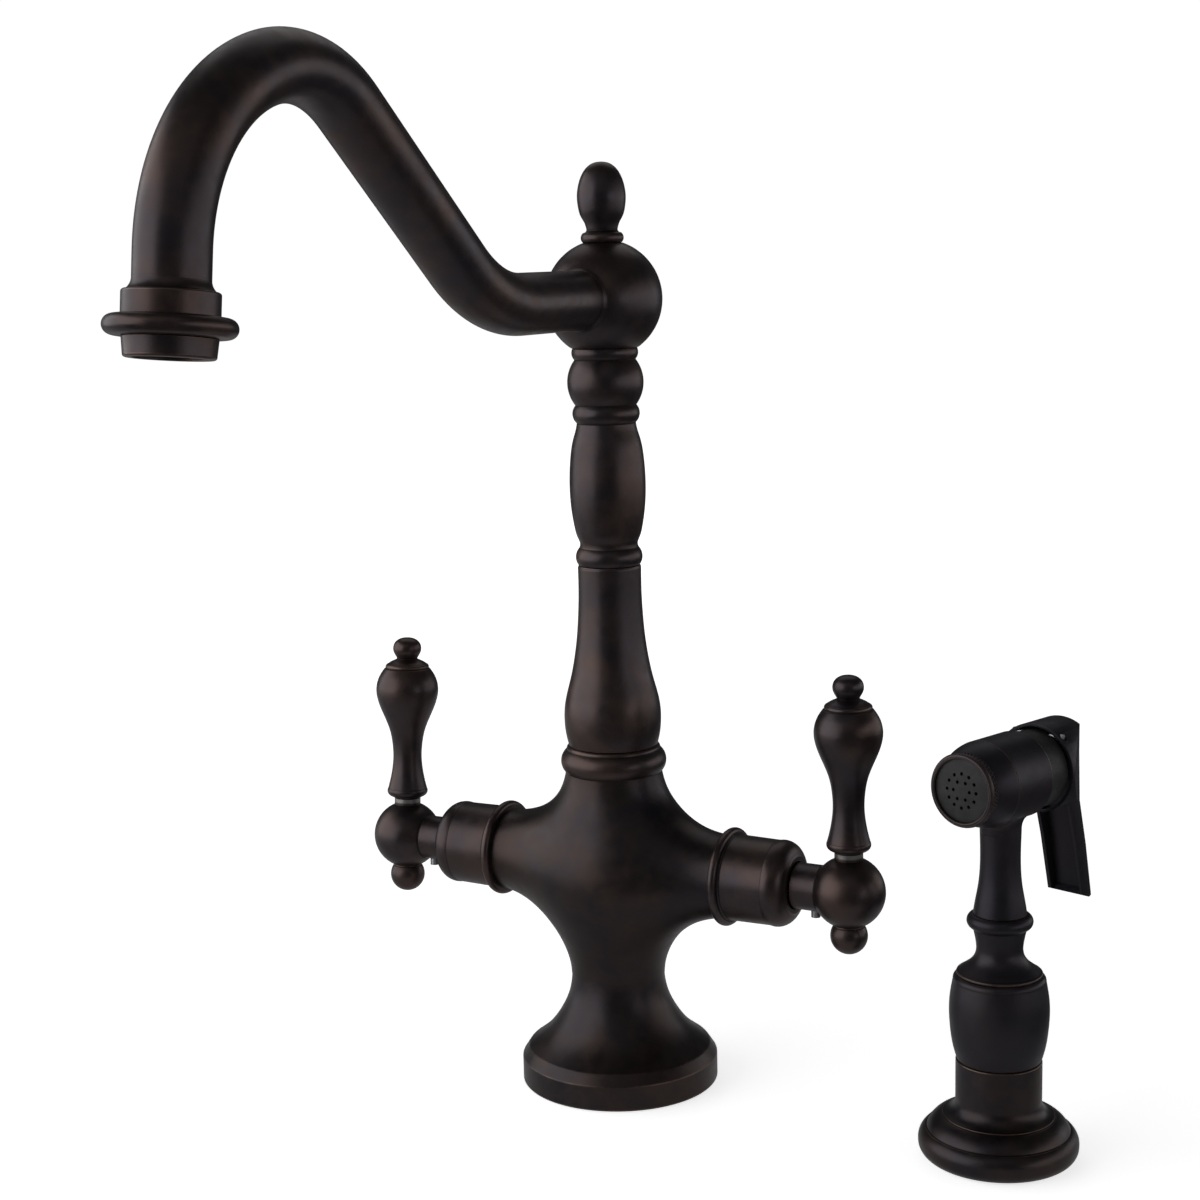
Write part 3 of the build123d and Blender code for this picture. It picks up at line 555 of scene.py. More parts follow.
def make_finishes():
    """The materials, one for each slot of the record and a darker copy of the bronze for the castings: painted
    shade for the weaker light low down.
    """
    if not finishes:
        c = bpy.context.scene.faucet_colours
        finishes["bronze"] = bronze_finish("oil_rubbed_bronze", c, c.dark, c.warm, 0.6)
        # Painted shade: a darker copy of the bronze, for the low-lying body casting and deck holder.
        finishes["casting"] = bronze_finish("oil_rubbed_casting_shaded", c, c.cast_shaded_dark, c.cast_shaded_warm, 0.5)
        finishes["sprayer_shell"] = shell_finish("satin_charcoal_shell", c)
        for slot, (name, key, *rest) in PLAIN.items():
            finishes[slot] = plain_finish(name, getattr(c, key), *rest)
    return finishes


# ================================================================ body casting
FOOT, WAIST, BELLY, NECK = (33.35, 8.5), (15.75, 37.5), (20.0, 75.8), (15.9, 107.3)


def body_outline():
    """Radius of the casting's post against height: foot, waist, belly and neck."""
    flare = [(0.026, 0.048), (0.19, 0.148), (0.52, 0.317), (0.78, 0.541), (0.93, 0.741), (1, 1)]
    share = [(0.12, 0.22), (0.5, 0.5), (0.88, 0.78), (1, 1)]
    knots = [FOOT]
    for low, high, shares in ((FOOT, WAIST, flare), (WAIST, BELLY, share), (BELLY, NECK, share)):
        knots += [(low[0] + a * (high[0] - low[0]), low[1] + b * (high[1] - low[1])) for a, b in shares]
    return smooth_curve(knots, 12)


class BODY_OT_casting(bpy.types.Operator):
    """Cast body: foot, waist, two valve arms and neck, blended into one skin"""
    bl_idname = "faucet.casting"
    bl_label = "Body casting"

    arm_radius = 13.5
    arm_end = 41.5
    blend_change = 6.0
    ray_start, ray_end, halvings = 8.0, 60.0, 34

    def skin(self, cloud):
        """Signed distance, near enough, to the post and to the arms, joined by the smooth minimum: where the
        two differ by less than the blend k, the smaller is lowered by k h (1 - h), with h their share."""
        radii, heights = self.post.T
        rho = np.hypot(cloud[..., 0], cloud[..., 1])
        radius = np.interp(cloud[..., 2], heights, radii)
        lean = np.interp(cloud[..., 2], heights, np.gradient(radii, heights))
        to_post = (rho - radius) / np.sqrt(1 + lean**2)
        rise = cloud[..., 2] - self.height
        to_arm = np.hypot(cloud[..., 1], rise) - self.arm_radius
        above = 0.5 + 0.5 * np.tanh(rise / self.blend_change)
        k = self.blend[0] * above + self.blend[1] * (1 - above)
        h = np.clip(0.5 + 0.5 * (to_arm - to_post) / k, 0, 1)
        return to_arm * (1 - h) + to_post * h - k * h * (1 - h)

    def reached(self, ways):
        """Where rays from the crossing of the axes leave the skin, by halving the interval that holds it."""
        ways = ways / np.linalg.norm(ways, axis=-1, keepdims=True)
        near, far = np.full(ways.shape[:-1], self.ray_start), np.full(ways.shape[:-1], self.ray_end)
        centre = np.array([0, 0, self.height])
        for _ in range(self.halvings):
            middle = (near + far) / 2
            inside = self.skin(centre + middle[..., None] * ways) < 0
            near, far = np.where(inside, middle, near), np.where(inside, far, middle)
        return (centre + near[..., None] * ways).reshape(-1, 3)

    def execute(self, context):
        self.post = body_outline()
        self.height = sizes().handle_height / MM
        self.blend = sizes().blend_above / MM, sizes().blend_below / MM
        cells = 44
        cube = np.tan(np.linspace(-np.pi / 4, np.pi / 4, cells + 1))
        a, b = np.meshgrid(cube, cube, indexing="ij")
        front = self.reached(np.stack([a, -np.ones_like(a), b], -1))
        flat = Surface(front, grid_faces(cells + 1, cells + 1))
        whole = flat + Surface(front * [1, -1, 1], flat.quads)
        sides = 4 * cells
        around = angles(sides) + np.pi / 4
        square = 1 / np.maximum(np.abs(np.cos(around)), np.abs(np.sin(around)))
        arm = self.arm_end / self.arm_radius
        up, down = (NECK[1] - self.height) / NECK[0], (self.height - WAIST[1]) / WAIST[0]
        for axis, sign, reach, count in ((0, 1, arm, 34), (0, -1, arm, 34), (2, 1, up, 26), (2, -1, down, 30)):
            share = np.linspace(0, 1, count + 1)[:, None]
            ahead = (1 - share) / square + share * reach
            c, s = np.cos(around) + 0 * ahead, np.sin(around) + 0 * ahead
            ways = np.stack([sign * ahead, c, s] if axis == 0 else [c, s, sign * ahead], -1)
            whole += Surface(self.reached(ways), grid_faces(count + 1, sides, False, True))
        low = self.post[self.post[:, 1] < WAIST[1]][::-12]
        foot = outline(
            WAIST, [tuple(p) for p in low], FOOT, (33.35, 0.5), (32.85, 0), (32.25, 0), (32.25, 1.2), (30.0, 1.2),
            (30.0, 0), (29.0, 0), (29.0, 7.0), (17.5, 7.0), (17.5, 0), (13.0, 0), (13.0, 16.0), (12.6, 16.0),
            (12.6, 58.0), (0, 58.0), closed=False, edge=0.35)
        neck = outline(
            NECK, (14.3, 107.3), (14.3, 112.3), (10.0, 112.3), (10.0, 97.0), (8.0, 97.0), (8.0, 86.0), (0, 86.0),
            closed=False)
        arm = outline(
            (13.5, 41.5), (11.5, 41.5), (11.5, 52.0), (8.5, 52.0), (8.5, 14.0), (0, 14.0), closed=False)
        turn = np.pi / 4
        twist = np.array([[np.cos(turn), -np.sin(turn), 0], [np.sin(turn), np.cos(turn), 0], [0, 0, 1]])
        whole += turned(foot, sides, closed=False).moved(twist) + turned(neck, sides, closed=False).moved(twist)
        for side, _ in HANDS:
            lie = np.array([[0, 0, side], [1, 0, 0], [0, 1, 0]], float)
            whole += turned(arm, sides, closed=False).moved(lie @ twist, (0, 0, self.height))
        whole = whole.welded()
        whole.marks["run"] = whole.points[:, 2]
        # The body takes the darker copy of the bronze: painted shade.
        face_outwards(whole.piece("cast_body", "base", ["faucet_body"], "casting"))
        return {"FINISHED"}


def face_outwards(piece):
    """Make all faces of a closed skin that was put together from patches face outwards."""
    work = bmesh.new()
    work.from_mesh(piece.data)
    bmesh.ops.recalc_face_normals(work, faces=work.faces)
    work.to_mesh(piece.data)
    work.free()


class BODY_OT_nut(bpy.types.Operator):
    """Ring nut under the column"""
    bl_idname = "faucet.ring_nut"
    bl_label = "Ring nut"

    def execute(self, context):
        line = outline(
            (14.3, 107.35), (15.8, 107.35), ((17.7, 111.5), (15.7, 115.3)), ((15.5, 116.3), (15.0, 116.7)),
            (12.6, 116.7), (12.6, 114.9), (14.3, 114.9))
        turn_all("base", "bronze", upright(0, 0), ("ring_nut", "swivel_nut", line), sides=144)
        return {"FINISHED"}


# ================================================================ column
BALL_BOTTOM, BALL_TOP = 248.9, 282.7


class COLUMN_OT_lengths(bpy.types.Operator):
    """The turned column in its two lengths"""
    bl_idname = "faucet.column"
    bl_label = "Turned column"

    def execute(self, context):
        seam = 177.6
        lower = outline(
            (6.5, 98.0), (9.95, 98.0), (9.95, 112.9), (14.0, 112.9), (14.0, 114.7), (12.5, 114.7), (12.5, 116.8),
            *fitted(16.2, 116.75, seam, (0.92, 0.001),
                    [(0.963, 0.048), (1, 0.143), (0.978, 0.234), (0.92, 0.304), (0.84, 0.385), (0.765, 0.485),
                     (0.71, 0.586), (0.67, 0.711), (0.648, 0.842), (0.648, 0.985)], (0.632, 0.9985)),
            (8.5, 177.55), (8.5, 184.6), (6.5, 184.6))
        upper = outline(
            (8.5, 177.65),
            *fitted(12.55, seam, BALL_BOTTOM, (0.815, 0.001), ((0.88, 0.042), (0.785, 0.08)),
                    [(0.761, 0.094), (0.821, 0.129), (0.892, 0.174), (0.964, 0.255), (1, 0.365), (0.964, 0.496),
                     (0.876, 0.586), (0.797, 0.634), (0.773, 0.658)],
                    ((0.88, 0.703), (0.797, 0.739)), ((0.996, 0.844), (0.797, 0.947)),
                    ((0.869, 0.976), (0.842, 0.9995))),
            (8.5, BALL_BOTTOM), (8.5, 253.9), (6.5, 253.9), (6.5, 184.65), (8.5, 184.65))
        turn_all("spout", "bronze", upright(0, 0), ("column_lower", "lower_column", lower),
                 ("column_upper", "upper_column", upper))
        return {"FINISHED"}


class COLUMN_OT_ball(bpy.types.Operator):
    """The ball that carries the spout, and its acorn finial"""
    bl_idname = "faucet.ball"
    bl_label = "Ball and finial"

    def execute(self, context):
        radius, height, tube = 19.15, sizes().ball_height / MM, sizes().tube_radius / MM
        mouth = np.sqrt(radius**2 - tube**2)
        line = outline(
            (0, -radius), ((radius, 0), (tube + 0.9, np.sqrt(radius**2 - (tube + 0.9) ** 2))),
            ((tube + 0.35, mouth + 0.1), (tube, mouth + 0.85)), (tube, 7.0), (8.3, 7.0), (8.3, 0), (0, 0))
        ball = turned(line, 160).moved([[1, 0, 0], [0, 0, -1], [0, 1, 0]], (0, 0, height))
        ball.points[:, 2] = np.clip(ball.points[:, 2], BALL_BOTTOM, BALL_TOP)
        ball.piece("spout_ball", "spout", ["spout_hub"])
        z = BALL_TOP
        acorn = outline(
            (0, z - 7), (3.0, z - 7), (3.0, z),
            *fitted(7.9, z, z + 25.7, (0.797, 0), ((0.88, 0.07), (0.772, 0.125)), ((0.665, 0.14), (0.646, 0.175)),
                    [(0.709, 0.241), (0.861, 0.327), (0.968, 0.451), (1, 0.56), (0.949, 0.7), (0.797, 0.837),
                     (0.557, 0.938), (0.278, 0.988), (0, 1)]))
        turn_all("spout", "bronze", upright(0, 0), ("acorn_finial", "hub_finial", acorn), sides=112)
        return {"FINISHED"}


# ================================================================ spout
class SpoutLine:
    """The tube's centre line in the plane x = 0: straight runs, and bends of a radius through an angle."""

    def __init__(self, start, runs):
        self.s, self.where, self.heading = [0.0], [np.array(start, float)], [0.0]
        for radius, amount in runs:
            steps = max(2, int(abs(amount) / (1.5 if radius is None else 0.03)))
            t = np.linspace(0, amount, steps + 1)[1:]
            h = self.heading[-1]
            here = self.where[-1]
            if radius is None:
                points = here + t[:, None] * [-np.cos(h), np.sin(h)]
                turns, far = h + 0 * t, t
            else:
                sign = np.sign(amount)
                turns, far = h + t, radius * abs(t)
                points = here + radius * sign * np.stack([np.sin(h) - np.sin(turns), np.cos(h) - np.cos(turns)], 1)
            self.s += list(self.s[-1] + far)
            self.where += list(points)
            self.heading += list(turns)
        self.s, self.where, self.heading = np.array(self.s), np.array(self.where), np.array(self.heading)

    def carry(self, cloud):
        """A straight piece along z is bent: z is a distance along the line, x stays across, and y becomes
        the line's normal in its own plane."""
        s = cloud[..., 2]
        y, z, h = (np.interp(s, self.s, v) for v in (self.where[:, 0], self.where[:, 1], self.heading))
        return np.stack([cloud[..., 0], y + cloud[..., 1] * np.sin(h), z + cloud[..., 1] * np.cos(h)], -1)

    def end_frame(self, back):
        """Axes and origin at the line's end: heights run on along the line, from a distance before its end."""
        h = self.heading[-1]
        way = np.array([0, -np.cos(h), np.sin(h)])
        side = np.array([1.0, 0, 0])
        return np.stack([side, np.cross(way, side), way], 1), np.array([0, *self.where[-1]]) - back * way


def spout_line():
    """Out of the ball, up the slope, over the crown and down to seven degrees short of upright."""
    rise, crest, short = 39.5, 54.5, 7.0
    turn = np.radians
    return SpoutLine((-7.0, sizes().ball_height / MM),
                     [(None, 46.0), (54.0, turn(rise)), (None, 66.5), (39.5, -turn(crest)),
                      (52.5, -turn(90 + rise - crest - short)), (None, 13.7)])


class SPOUT_OT_tube(bpy.types.Operator):
    """Bent spout tube"""
    bl_idname = "faucet.tube"
    bl_label = "Spout tube"

    def execute(self, context):
        line, wall = spout_line(), 1.2
        end, r = line.s[-1], sizes().tube_radius / MM
        ends = outline((r, 0), (r, end), (r - wall, end), (r - wall, 0), step=1.6)
        turned(ends, 112, path=line.carry).piece("bent_tube", "spout", ["spout_tube"])
        return {"FINISHED"}


class SPOUT_OT_end_fitting(bpy.types.Operator):
    """Collar, ring and shell of the spout's end"""
    bl_idname = "faucet.end_fitting"
    bl_label = "End fitting"

    def execute(self, context):
        collar = outline(
            (9.5, -3.2), ((9.85, -1.3), (10.9, 0)), (11.5, 0), (11.9, 0.4), (11.9, 6.0), (11.4, 6.0), (11.4, 10.8),
            (10.6, 10.8), (10.6, 4.9), (8.3, 4.9), (8.3, 4.0), (9.5, 4.0))
        ring = outline(
            (11.4, 6.0), (13.7, 6.0), ((16.2, 8.5), (13.7, 11.0)), (11.0, 11.0), (11.0, 10.8), (11.4, 10.8))
        shell = outline(
            (9.2, 6.1), (10.6, 6.1), (10.6, 10.8), (11.0, 10.8), (11.0, 11.05), (11.6, 11.05), (11.2, 15.3),
            ((10.95, 15.9), (10.4, 16.1)), (9.2, 16.1))
        turn_all("spout", "bronze", spout_line().end_frame(4.0), ("spout_end_collar", "spout_collar", collar),
                 ("spout_end_ring", "aerator_ring", ring), ("spout_end_shell", "aerator_shell", shell))
        return {"FINISHED"}


# ================================================================ valves and handles
class HANDLE_OT_bonnets(bpy.types.Operator):
    """Bell-shaped bonnets over the valve arms"""
    bl_idname = "faucet.bonnets"
    bl_label = "Bonnets"

    def execute(self, context):
        bell = outline(
            (11.5, 41.5), (14.86, 41.5), ((16.26, 43.0), (14.46, 44.5)), (14.15, 45.2), (13.95, 59.5),
            ((13.1, 64.2), (10.2, 66.2)), (9.4, 66.6), (7.9, 66.6), (7.9, 61.1), (11.5, 61.1))
        for side, name in HANDS:
            turn_all("base", "bronze", out_along(side, sizes().handle_height / MM),
                     (f"{name}_bell", f"{name}_bonnet", bell))
        return {"FINISHED"}


class HANDLE_OT_handles(bpy.types.Operator):
    """Ball hubs, baluster levers, their finials and tail knobs"""
    bl_idname = "faucet.handles"
    bl_label = "Handles"

    lean_back = 3.5
    ball, neck, fillet = 11.8, 7.55, 1.0
    lever_foot, tail_neck, tail_ball = 4.6, 5.1, 6.05
    lever_end = 139.0

    def hub(self, reach):
        """The ball on its neck: an arc of the fillet's radius touches both, and meets the ball's on the line
        between their centres."""
        ball, neck, fillet = self.ball, self.neck, self.fillet
        joint = reach - np.sqrt((ball + fillet) ** 2 - (neck + fillet) ** 2)
        share = ball / (ball + fillet)
        half = np.arccos((neck + fillet) / (ball + fillet)) / 2
        return outline(
            (0, 66.95), (neck, 66.95), (neck, joint),
            ((neck + fillet - fillet * np.cos(half), joint + fillet * np.sin(half)),
             ((neck + fillet) * share, reach - (reach - joint) * share)),
            ((ball, reach), (0, reach + ball)))

    def execute(self, context):
        reach, height = sizes().lever_reach / MM, sizes().handle_height / MM
        foot, tail_neck, tail_ball, end = self.lever_foot, self.tail_neck, self.tail_ball, self.lever_end
        top = height + np.sqrt(self.ball**2 - foot**2)
        bottom = height - np.sqrt(self.ball**2 - tail_neck**2)
        lever = outline(
            (0, top - 7), (3.0, top - 7), (3.0, top), (foot, top), (foot, top + 2.5),
            *fitted(10.97, top, end, (0.552, 0.062), ((0.643, 0.083), (0.629, 0.113)),
                    [(0.565, 0.166), (0.497, 0.241), (0.46, 0.331), (0.479, 0.411), (0.565, 0.51), (0.729, 0.601),
                     (0.875, 0.673), (0.971, 0.738), (1, 0.791), (0.966, 0.843), (0.88, 0.889), (0.738, 0.934)],
                    (0.693, 0.94), ((0.693, 0.955), (0.629, 0.967)), [(0.538, 0.98), (0.397, 0.994), (0.337, 1)]),
            (1.8, end), (1.8, end - 5), (0, end - 5), step=0.6)
        finial = outline(
            (0, end - 5), (1.8, end - 5), (1.8, end),
            *fitted(4.95, end, end + 7.6, (0.727, 0), (0.747, 0.066),
                    [(0.879, 0.211), (0.99, 0.388), (1, 0.546), (0.919, 0.724), (0.697, 0.882), (0.384, 0.974),
                     (0, 1)]))
        centre = bottom - 0.5 - np.sqrt(tail_ball**2 - tail_neck**2)
        tail = outline(
            (0, bottom + 6), (2.5, bottom + 6), (2.5, bottom), (tail_neck, bottom), (tail_neck, bottom - 0.5),
            ((tail_ball, centre), (0, centre - tail_ball)))
        for side, name in HANDS:
            body = f"{name}_handle"
            lean = about_arm(self.lean_back if side < 0 else 0, height)
            knob = turned(self.hub(reach), 128).moved(*out_along(side, height))
            knob.points[:, 2] = np.clip(knob.points[:, 2], bottom, top)
            knob.moved(*lean).piece(f"{name}_ball", body, [f"{name}_hub"])
            for line, label, node in ((lever, "baluster", "lever"), (finial, "top_bead", "lever_finial"),
                                      (tail, "tail_bead", "tail_knob")):
                solid = turned(line, 112)
                if label == "baluster":
                    rise = solid.points[:, 2] - top
                    solid.marks["bare"] = ((rise > 0.75) & (rise < 2.35)).astype(float)
                solid = solid.moved(*upright(side * reach, 0)).moved(*lean)
                solid.piece(f"{name}_{label}", body, [f"{name}_{node}"])
        return {"FINISHED"}


# ================================================================ side sprayer
def sprayer_spot():
    """The sprayer's place on the deck."""
    s = bpy.context.scene.sprayer_sizes
    return s.side / MM, -s.front / MM


def head_frame():
    """Axes and origin of the spray head: x forward out of the nozzle, z up."""
    s = bpy.context.scene.sprayer_sizes
    turn = -np.pi / 2 - s.head_turn
    forward = np.array([np.cos(turn), np.sin(turn), 0])
    return np.stack([forward, np.cross(UP, forward), UP], 1), np.array([*sprayer_spot(), s.head_height / MM])


def nose_frame():
    """The same, with the turned pieces' heights running forward."""
    axes, origin = head_frame()
    return axes @ out_along(1, 0)[0], origin


class SPRAYER_OT_holder(bpy.types.Operator):
    """Deck flange and holder of the sprayer"""
    bl_idname = "faucet.sprayer_holder"
    bl_label = "Sprayer holder"

    def execute(self, context):
        flange = outline(
            (11.0, 0), (20.6, 0), ((23.5, 1.3), (24.65, 4.4)), ((24.3, 6.8), (22.6, 8.9)), (22.1, 8.9),
            ((20.3, 11.6), (17.6, 13.3)), (13.0, 13.3), (13.0, 8.5), (11.0, 8.5))
        cup = outline(
            (11.0, 8.5), (13.0, 8.5), (13.0, 13.3), (17.2, 13.3), (17.2, 13.7), ((14.35, 15.4), (13.25, 18.3)),
            (13.25, 31.0), (12.95, 31.3), (12.0, 31.3), (12.0, 10.0), (11.0, 10.0))
        # The flange and cup take the darker copy of the bronze: painted shade.
        turn_all("base", "casting", upright(*sprayer_spot()), ("deck_flange", "sprayer_flange", flange),
                 ("holder_cup", "sprayer_holder", cup), sides=144)
        return {"FINISHED"}


class SPRAYER_OT_handle(bpy.types.Operator):
    """The sprayer's grip and neck"""
    bl_idname = "faucet.sprayer_handle"
    bl_label = "Sprayer handle"

    def execute(self, context):
        grip = outline(
            (7.0, 14.0), (10.6, 14.0), (10.6, 31.5),
            *fitted(15.3, 31.5, 58.6, (0.843, 0), (0.856, 0.015),
                    [(0.918, 0.14), (0.977, 0.351), (1, 0.561), (0.987, 0.727), (0.954, 0.849), (0.928, 0.93)],
                    ((0.908, 0.974), (0.85, 0.999))),
            (5.0, 58.6), (5.0, 65.2), (3.0, 65.2), (3.0, 50.6), (7.0, 50.6))
        neck = outline(
            (5.0, 58.6),
            *fitted(13.15, 58.6, 77.8, (0.966, 0), ((1, 0.026), (0.958, 0.052)),
                    [(0.859, 0.104), (0.73, 0.172), (0.605, 0.271), (0.544, 0.396), (0.548, 0.5), (0.589, 0.656),
                     (0.624, 0.76)], ((0.768, 0.875), (0.646, 1))),
            (5.0, 77.8), (5.0, 71.2), (3.0, 71.2), (3.0, 65.2), (5.0, 65.2))
        turn_all("sprayer", "sprayer_shell", upright(*sprayer_spot()), ("grip_barrel", "sprayer_grip", grip),
                 ("grip_neck", "sprayer_neck", neck))
        return {"FINISHED"}


class SPRAYER_OT_head(bpy.types.Operator):
    """The sprayer's stem, barrel, nozzle cone and knurled ring"""
    bl_idname = "faucet.sprayer_head"
    bl_label = "Sprayer head"

    barrel_radius = 13.25
    stem_radius, stem_bore, flare = 6.3, 5.0, 2.2
    beads_round, bead_height, bead_share, bead_rows = 60, 0.36, 0.42, (17.28, 18.0)

    def stem(self):
        """A turned stem whose top flares into the barrel: at each angle the quadratic curve that leaves the
        stem upwards and lands along the barrel's underside, height h - sqrt(R^2 - n^2)."""
        radius, flare = self.stem_radius, self.flare
        line = outline(
            (5.0, 77.85), (8.2, 77.85),
            [(7.6, 81.6), (6.75, 86.3), (6.22, 91.8), (6.12, 96.5), (6.2, 101), (6.3, 104.0)], closed=False)
        sides = 112
        around = angles(sides)
        axes, origin = head_frame()
        across = np.cos(around) * axes[0, 1] + np.sin(around) * axes[1, 1]

        def underside(r):
            return origin[2] - np.sqrt(self.barrel_radius**2 - (r * across) ** 2)

        low = underside(radius)
        t = np.linspace(0, 1, 12)[:, None]
        start, corner = (radius, low - flare * 1.6), (radius, low)
        end = radius + flare, underside(radius + flare) + 0.1
        r, z = ((1 - t) ** 2 * a + 2 * t * (1 - t) * b + t**2 * c for a, b, c in zip(start, corner, end))
        cloud = np.concatenate([rings(line[:, :1], line[:, 1:], around), rings(r, z, around),
                                rings(self.stem_bore, origin[2] - 4, around)[None]])
        cloud = cloud + [*sprayer_spot(), 0]
        rows = len(cloud)
        edge, run = edge_and_run(line, False)
        pad = np.zeros((rows - len(line)) * sides)
        return Surface(cloud.reshape(-1, 3), grid_faces(rows, sides, True, True),
                       edge=np.r_[np.repeat(edge, sides), pad], run=np.r_[np.repeat(run, sides), pad + run[-1]])

    def beads(self, r, a, z):
        """Two rows of half-round beads: a bead's height is the square root of one less the squared
        distances from its centre along and around the ring."""
        rise = 0 * r
        for row, middle in enumerate(self.bead_rows):
            around = (a * self.beads_round / (2 * np.pi) + 0.5 * row + 0.5) % 1 - 0.5
            near = 1 - (around / self.bead_share) ** 2 - ((z - middle) / self.bead_height) ** 2
            rise = np.maximum(rise, np.sqrt(np.maximum(near, 0)))
        return r + self.bead_height * rise * (r > 10.8)

    def execute(self, context):
        look = "sprayer_shell"
        barrel = outline(
            (10.5, -8.5), (12.45, -8.5), ((13.05, -8.2), (13.25, -7.5)), (13.25, 9.4), (9.5, 9.4), (9.5, 5.5),
            (3.0, 5.5), (3.0, 4.0), (10.5, 4.0))
        whole = turned(barrel, 144).moved(*nose_frame()) + self.stem()
        whole.piece("wand", "sprayer", ["sprayer_wand"], look)
        cone = outline(
            (5.0, 6.5), (9.5, 6.5), (9.5, 9.4), (13.2, 9.4), ((12.55, 12.8), (10.6, 16.8)), (9.0, 16.8),
            (9.0, 18.9), (5.0, 18.9))
        turn_all("sprayer", look, nose_frame(), ("nozzle_cone_skin", "nozzle_cone", cone), sides=144)
        ring = outline(
            (9.0, 16.85), (10.75, 16.85), (10.85, 17.0), (10.85, 18.35), (10.6, 18.5), (10.6, 18.7), (11.0, 18.8),
            ((11.26, 19.7), (10.6, 20.55)), (9.95, 20.6), (9.65, 20.3), (9.6, 18.9), (9.0, 18.9), step=0.16,
            edge=0.12)
        beaded = turned(ring, 720, shape=self.beads).moved(*nose_frame())
        beaded.piece("nozzle_ring_skin", "sprayer", ["nozzle_ring"], look)
        return {"FINISHED"}


class SPRAYER_OT_trigger(bpy.types.Operator):
    """The squeeze lever with its edges eased"""
    bl_idname = "faucet.trigger"
    bl_label = "Trigger"

    def execute(self, context):
        mesh = frame["nodes"]["trigger_lever"].data.copy()
        mesh.name = "squeeze_lever"
        work = bmesh.new()
        work.from_mesh(mesh)
        bmesh.ops.remove_doubles(work, verts=work.verts, dist=1e-6)
        bmesh.ops.dissolve_limit(work, angle_limit=np.radians(1.0), verts=work.verts, edges=work.edges)
        work.to_mesh(mesh)
        work.free()
        mesh.shade_smooth()
        mesh.materials.clear()
        mesh.materials.append(make_finishes()["sprayer_shell"])
        lever = put("squeeze_lever", mesh)
        ease = lever.modifiers.new("ease", "BEVEL")
        ease.width, ease.segments, ease.limit_method = 0.22 * MM, 3, "ANGLE"
        ease.angle_limit = np.radians(28)
        ease.harden_normals = True
        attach(lever, "trigger")
        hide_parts("trigger_lever")
        return {"FINISHED"}


class INNER_OT_finishes(bpy.types.Operator):
    """Finishes on the solids that show as they are"""
    bl_idname = "faucet.inner_finishes"
    bl_label = "Inner pieces' finishes"

    def execute(self, context):
        for part in frame["record"]["subparts"]:
            node = frame["nodes"][part["node"]]
            node.data.materials.clear()
            node.data.materials.append(make_finishes()[part["material_slot"]])
        return {"FINISHED"}


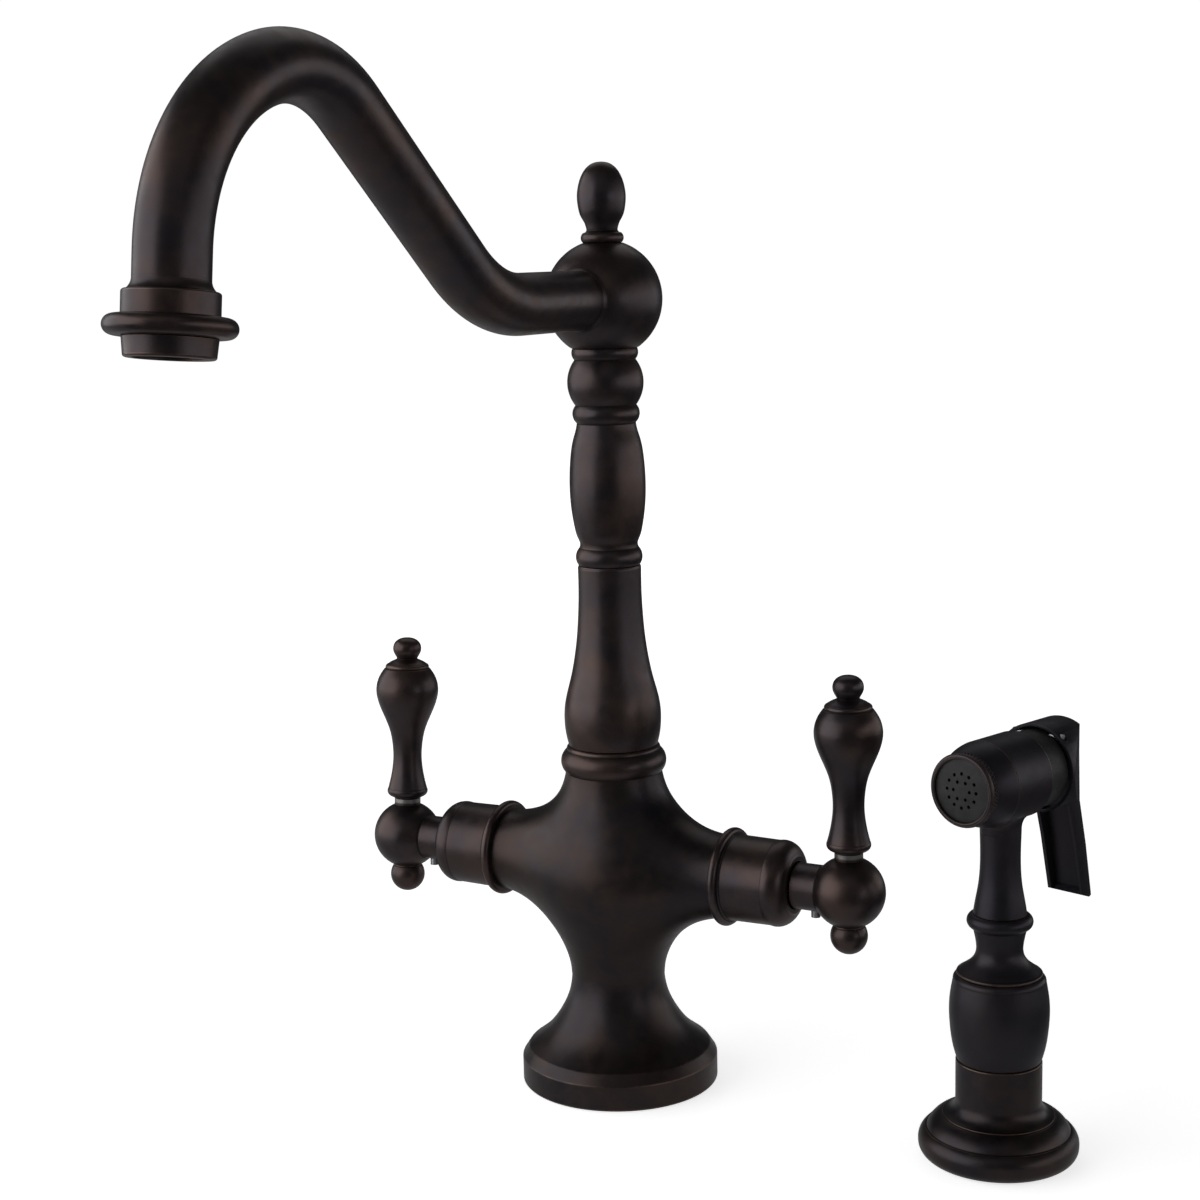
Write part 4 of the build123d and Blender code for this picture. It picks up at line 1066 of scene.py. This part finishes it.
# ================================================================ stage
class STAGE_OT_studio(bpy.types.Operator):
    """Pale floor, soft light and the camera"""
    bl_idname = "faucet.studio"
    bl_label = "Studio"

    eye = 0.3357, -0.6135, 0.2800
    pan, pitch, roll = 28.965, 9.288, 1.314
    lens = 63.994
    floor_rings, floor_height = (0.0, 0.3, 0.8, 1.6, 3.0), -0.00025

    def softbox(self, name, where, aim, size, power, across=None):
        """A rectangular light that looks at a point, level unless its long side's direction is given."""
        light = bpy.data.lights.new(name, "AREA")
        light.shape = "RECTANGLE"
        light.size, light.size_y = size
        light.energy = power
        box = put(name, light)
        way = np.array(aim, float) - where
        across = np.cross(way, UP) if across is None else across
        across = across / np.linalg.norm(across)
        back = -way / np.linalg.norm(way)
        turn = np.stack([across, np.cross(back, across), back], 1)
        box.matrix_world = Matrix.Translation(where) @ Matrix(turn.tolist()).to_4x4()
        box.visible_camera = False

    def camera(self):
        """A camera at the photograph's place: panned, pitched down and rolled, at its focal length."""
        pan, pitch, roll = np.radians([self.pan, self.pitch, self.roll])
        ahead = np.array([-np.sin(pan) * np.cos(pitch), np.cos(pan) * np.cos(pitch), -np.sin(pitch)])
        right = np.array([np.cos(pan), np.sin(pan), 0])
        down = np.cross(ahead, right)
        turned_right = right * np.cos(roll) + down * np.sin(roll)
        turned_down = down * np.cos(roll) - right * np.sin(roll)
        data = bpy.data.cameras.new("camera")
        data.sensor_width, data.lens = 36.0, self.lens
        data.clip_start, data.clip_end = 0.01, 50.0
        camera = put("camera", data)
        turn = np.stack([turned_right, -turned_down, -ahead], 1)
        camera.matrix_world = Matrix.Translation(self.eye) @ Matrix(turn.tolist()).to_4x4()
        bpy.context.scene.camera = camera

    def floor(self, tint):
        """A round floor: rings of vertices, and a glow in its material that grows with the distance from the
        middle, so that it stays pale to its rim and only the part about the object shows a shadow."""
        radii, sides = np.array(self.floor_rings)[:, None], 96
        cloud = rings(radii, 0 * radii + self.floor_height, angles(sides)).reshape(-1, 3) / MM
        surface = Surface(cloud, grid_faces(len(radii), sides, False, True)).welded()
        mesh = bpy.data.meshes.new("floor")
        mesh.from_pydata((surface.points * MM).tolist(), [], surface.quads.tolist() + surface.tris.tolist())
        finish = Finish("pale_floor", roughness=0.9, specular_ior_level=0.0, base_color=(*tint, 1),
                        emission_strength=1.0)
        far = finish.add("ShaderNodeVectorMath", [finish.place()], output="Value", operation="LENGTH")
        glow = far.between(0.3, 1.5).colour((0.72, 0.72, 0.72), (1.1, 1.1, 1.1))
        mesh.materials.append(finish.feed(emission_color=glow))
        floor = put("floor", mesh)
        floor.visible_glossy = False
        floor.visible_shadow = False

    def world(self):
        """White behind the object for the eye, and a dim and even grey room for reflections."""
        world = bpy.data.worlds.new("studio")
        world.use_nodes = True
        bpy.context.scene.world = world
        tree = world.node_tree
        tree.nodes.clear()
        out, mix, path, room, white = (tree.nodes.new(f"ShaderNode{kind}") for kind in (
            "OutputWorld", "MixShader", "LightPath", "Background", "Background"))
        for node, tint, strength in ((room, (0.95, 0.93, 1.0, 1), 0.055), (white, (1, 1, 1, 1), 1.02)):
            node.inputs["Color"].default_value = tint
            node.inputs["Strength"].default_value = strength
        tree.links.new(path.outputs["Is Camera Ray"], mix.inputs["Fac"])
        tree.links.new(room.outputs[0], mix.inputs[1])
        tree.links.new(white.outputs[0], mix.inputs[2])
        tree.links.new(mix.outputs[0], out.inputs["Surface"])

    def execute(self, context):
        light = context.scene.studio_light
        self.floor(light.floor_tint)
        self.world()
        self.camera()
        aim = (0.02, -0.02, 0.17)
        self.softbox("left_box", (-0.96, -0.72, 0.515), aim, (2.3, 1.27), light.left_power)
        self.softbox("right_box", (1.134, 0.39, 0.30), aim, (2.8, 0.56), light.right_power)
        self.softbox("top_box", (-0.4, 0.72, 1.3), aim, (1.4, 1.0), light.top_power)
        self.softbox("front_box", (0.3, -0.8, 0.95), (0, -0.12, 0.3), (1.2, 0.8), light.front_power)
        right, ahead = np.array([0.875, 0.484, 0]), np.array([-0.484, 0.875, 0])
        card = -0.35 * right + 0.3 * ahead - 0.0001 * UP
        self.softbox("floor_card", card, card + UP, (1.1, 1.0), light.card_power, right)
        context.scene.view_settings.view_transform = "Standard"
        return {"FINISHED"}


class VIEW3D_PT_faucet(bpy.types.Panel):
    """Lists the sizes, colours and pieces"""
    bl_label = "Faucet"
    bl_idname = "VIEW3D_PT_faucet"
    bl_space_type = "VIEW_3D"
    bl_region_type = "UI"
    bl_category = "Faucet"

    def draw(self, context):
        for group in GROUPS:
            box = self.layout.box()
            settings = getattr(context.scene, group)
            for key in settings.bl_rna.properties.keys():
                if key not in ("rna_type", "name"):
                    box.prop(settings, key)
        for operator in OPERATORS:
            self.layout.operator(operator.bl_idname)


GROUPS = {"faucet_sizes": FaucetSizes, "sprayer_sizes": SprayerSizes, "faucet_colours": FinishColours,
          "studio_light": StudioLight}
OPERATORS = (STAGE_OT_studio, INNER_OT_finishes, BODY_OT_casting, BODY_OT_nut, COLUMN_OT_lengths, COLUMN_OT_ball,
             SPOUT_OT_tube, SPOUT_OT_end_fitting, HANDLE_OT_bonnets, HANDLE_OT_handles, SPRAYER_OT_holder,
             SPRAYER_OT_handle, SPRAYER_OT_head, SPRAYER_OT_trigger)


def register():
    for item in (*GROUPS.values(), *OPERATORS, VIEW3D_PT_faucet):
        bpy.utils.register_class(item)
    for key, group in GROUPS.items():
        setattr(bpy.types.Scene, key, PointerProperty(type=group))


def unregister():
    for key in GROUPS:
        delattr(bpy.types.Scene, key)
    for item in (VIEW3D_PT_faucet, *OPERATORS[::-1], *list(GROUPS.values())[::-1]):
        bpy.utils.unregister_class(item)


def main():
    register()
    for operator in OPERATORS:
        group, name = operator.bl_idname.split(".")
        if getattr(getattr(bpy.ops, group), name)() != {"FINISHED"}:
            raise RuntimeError(f"{operator.bl_label} did not finish")


if __name__ == "__main__":
    main()
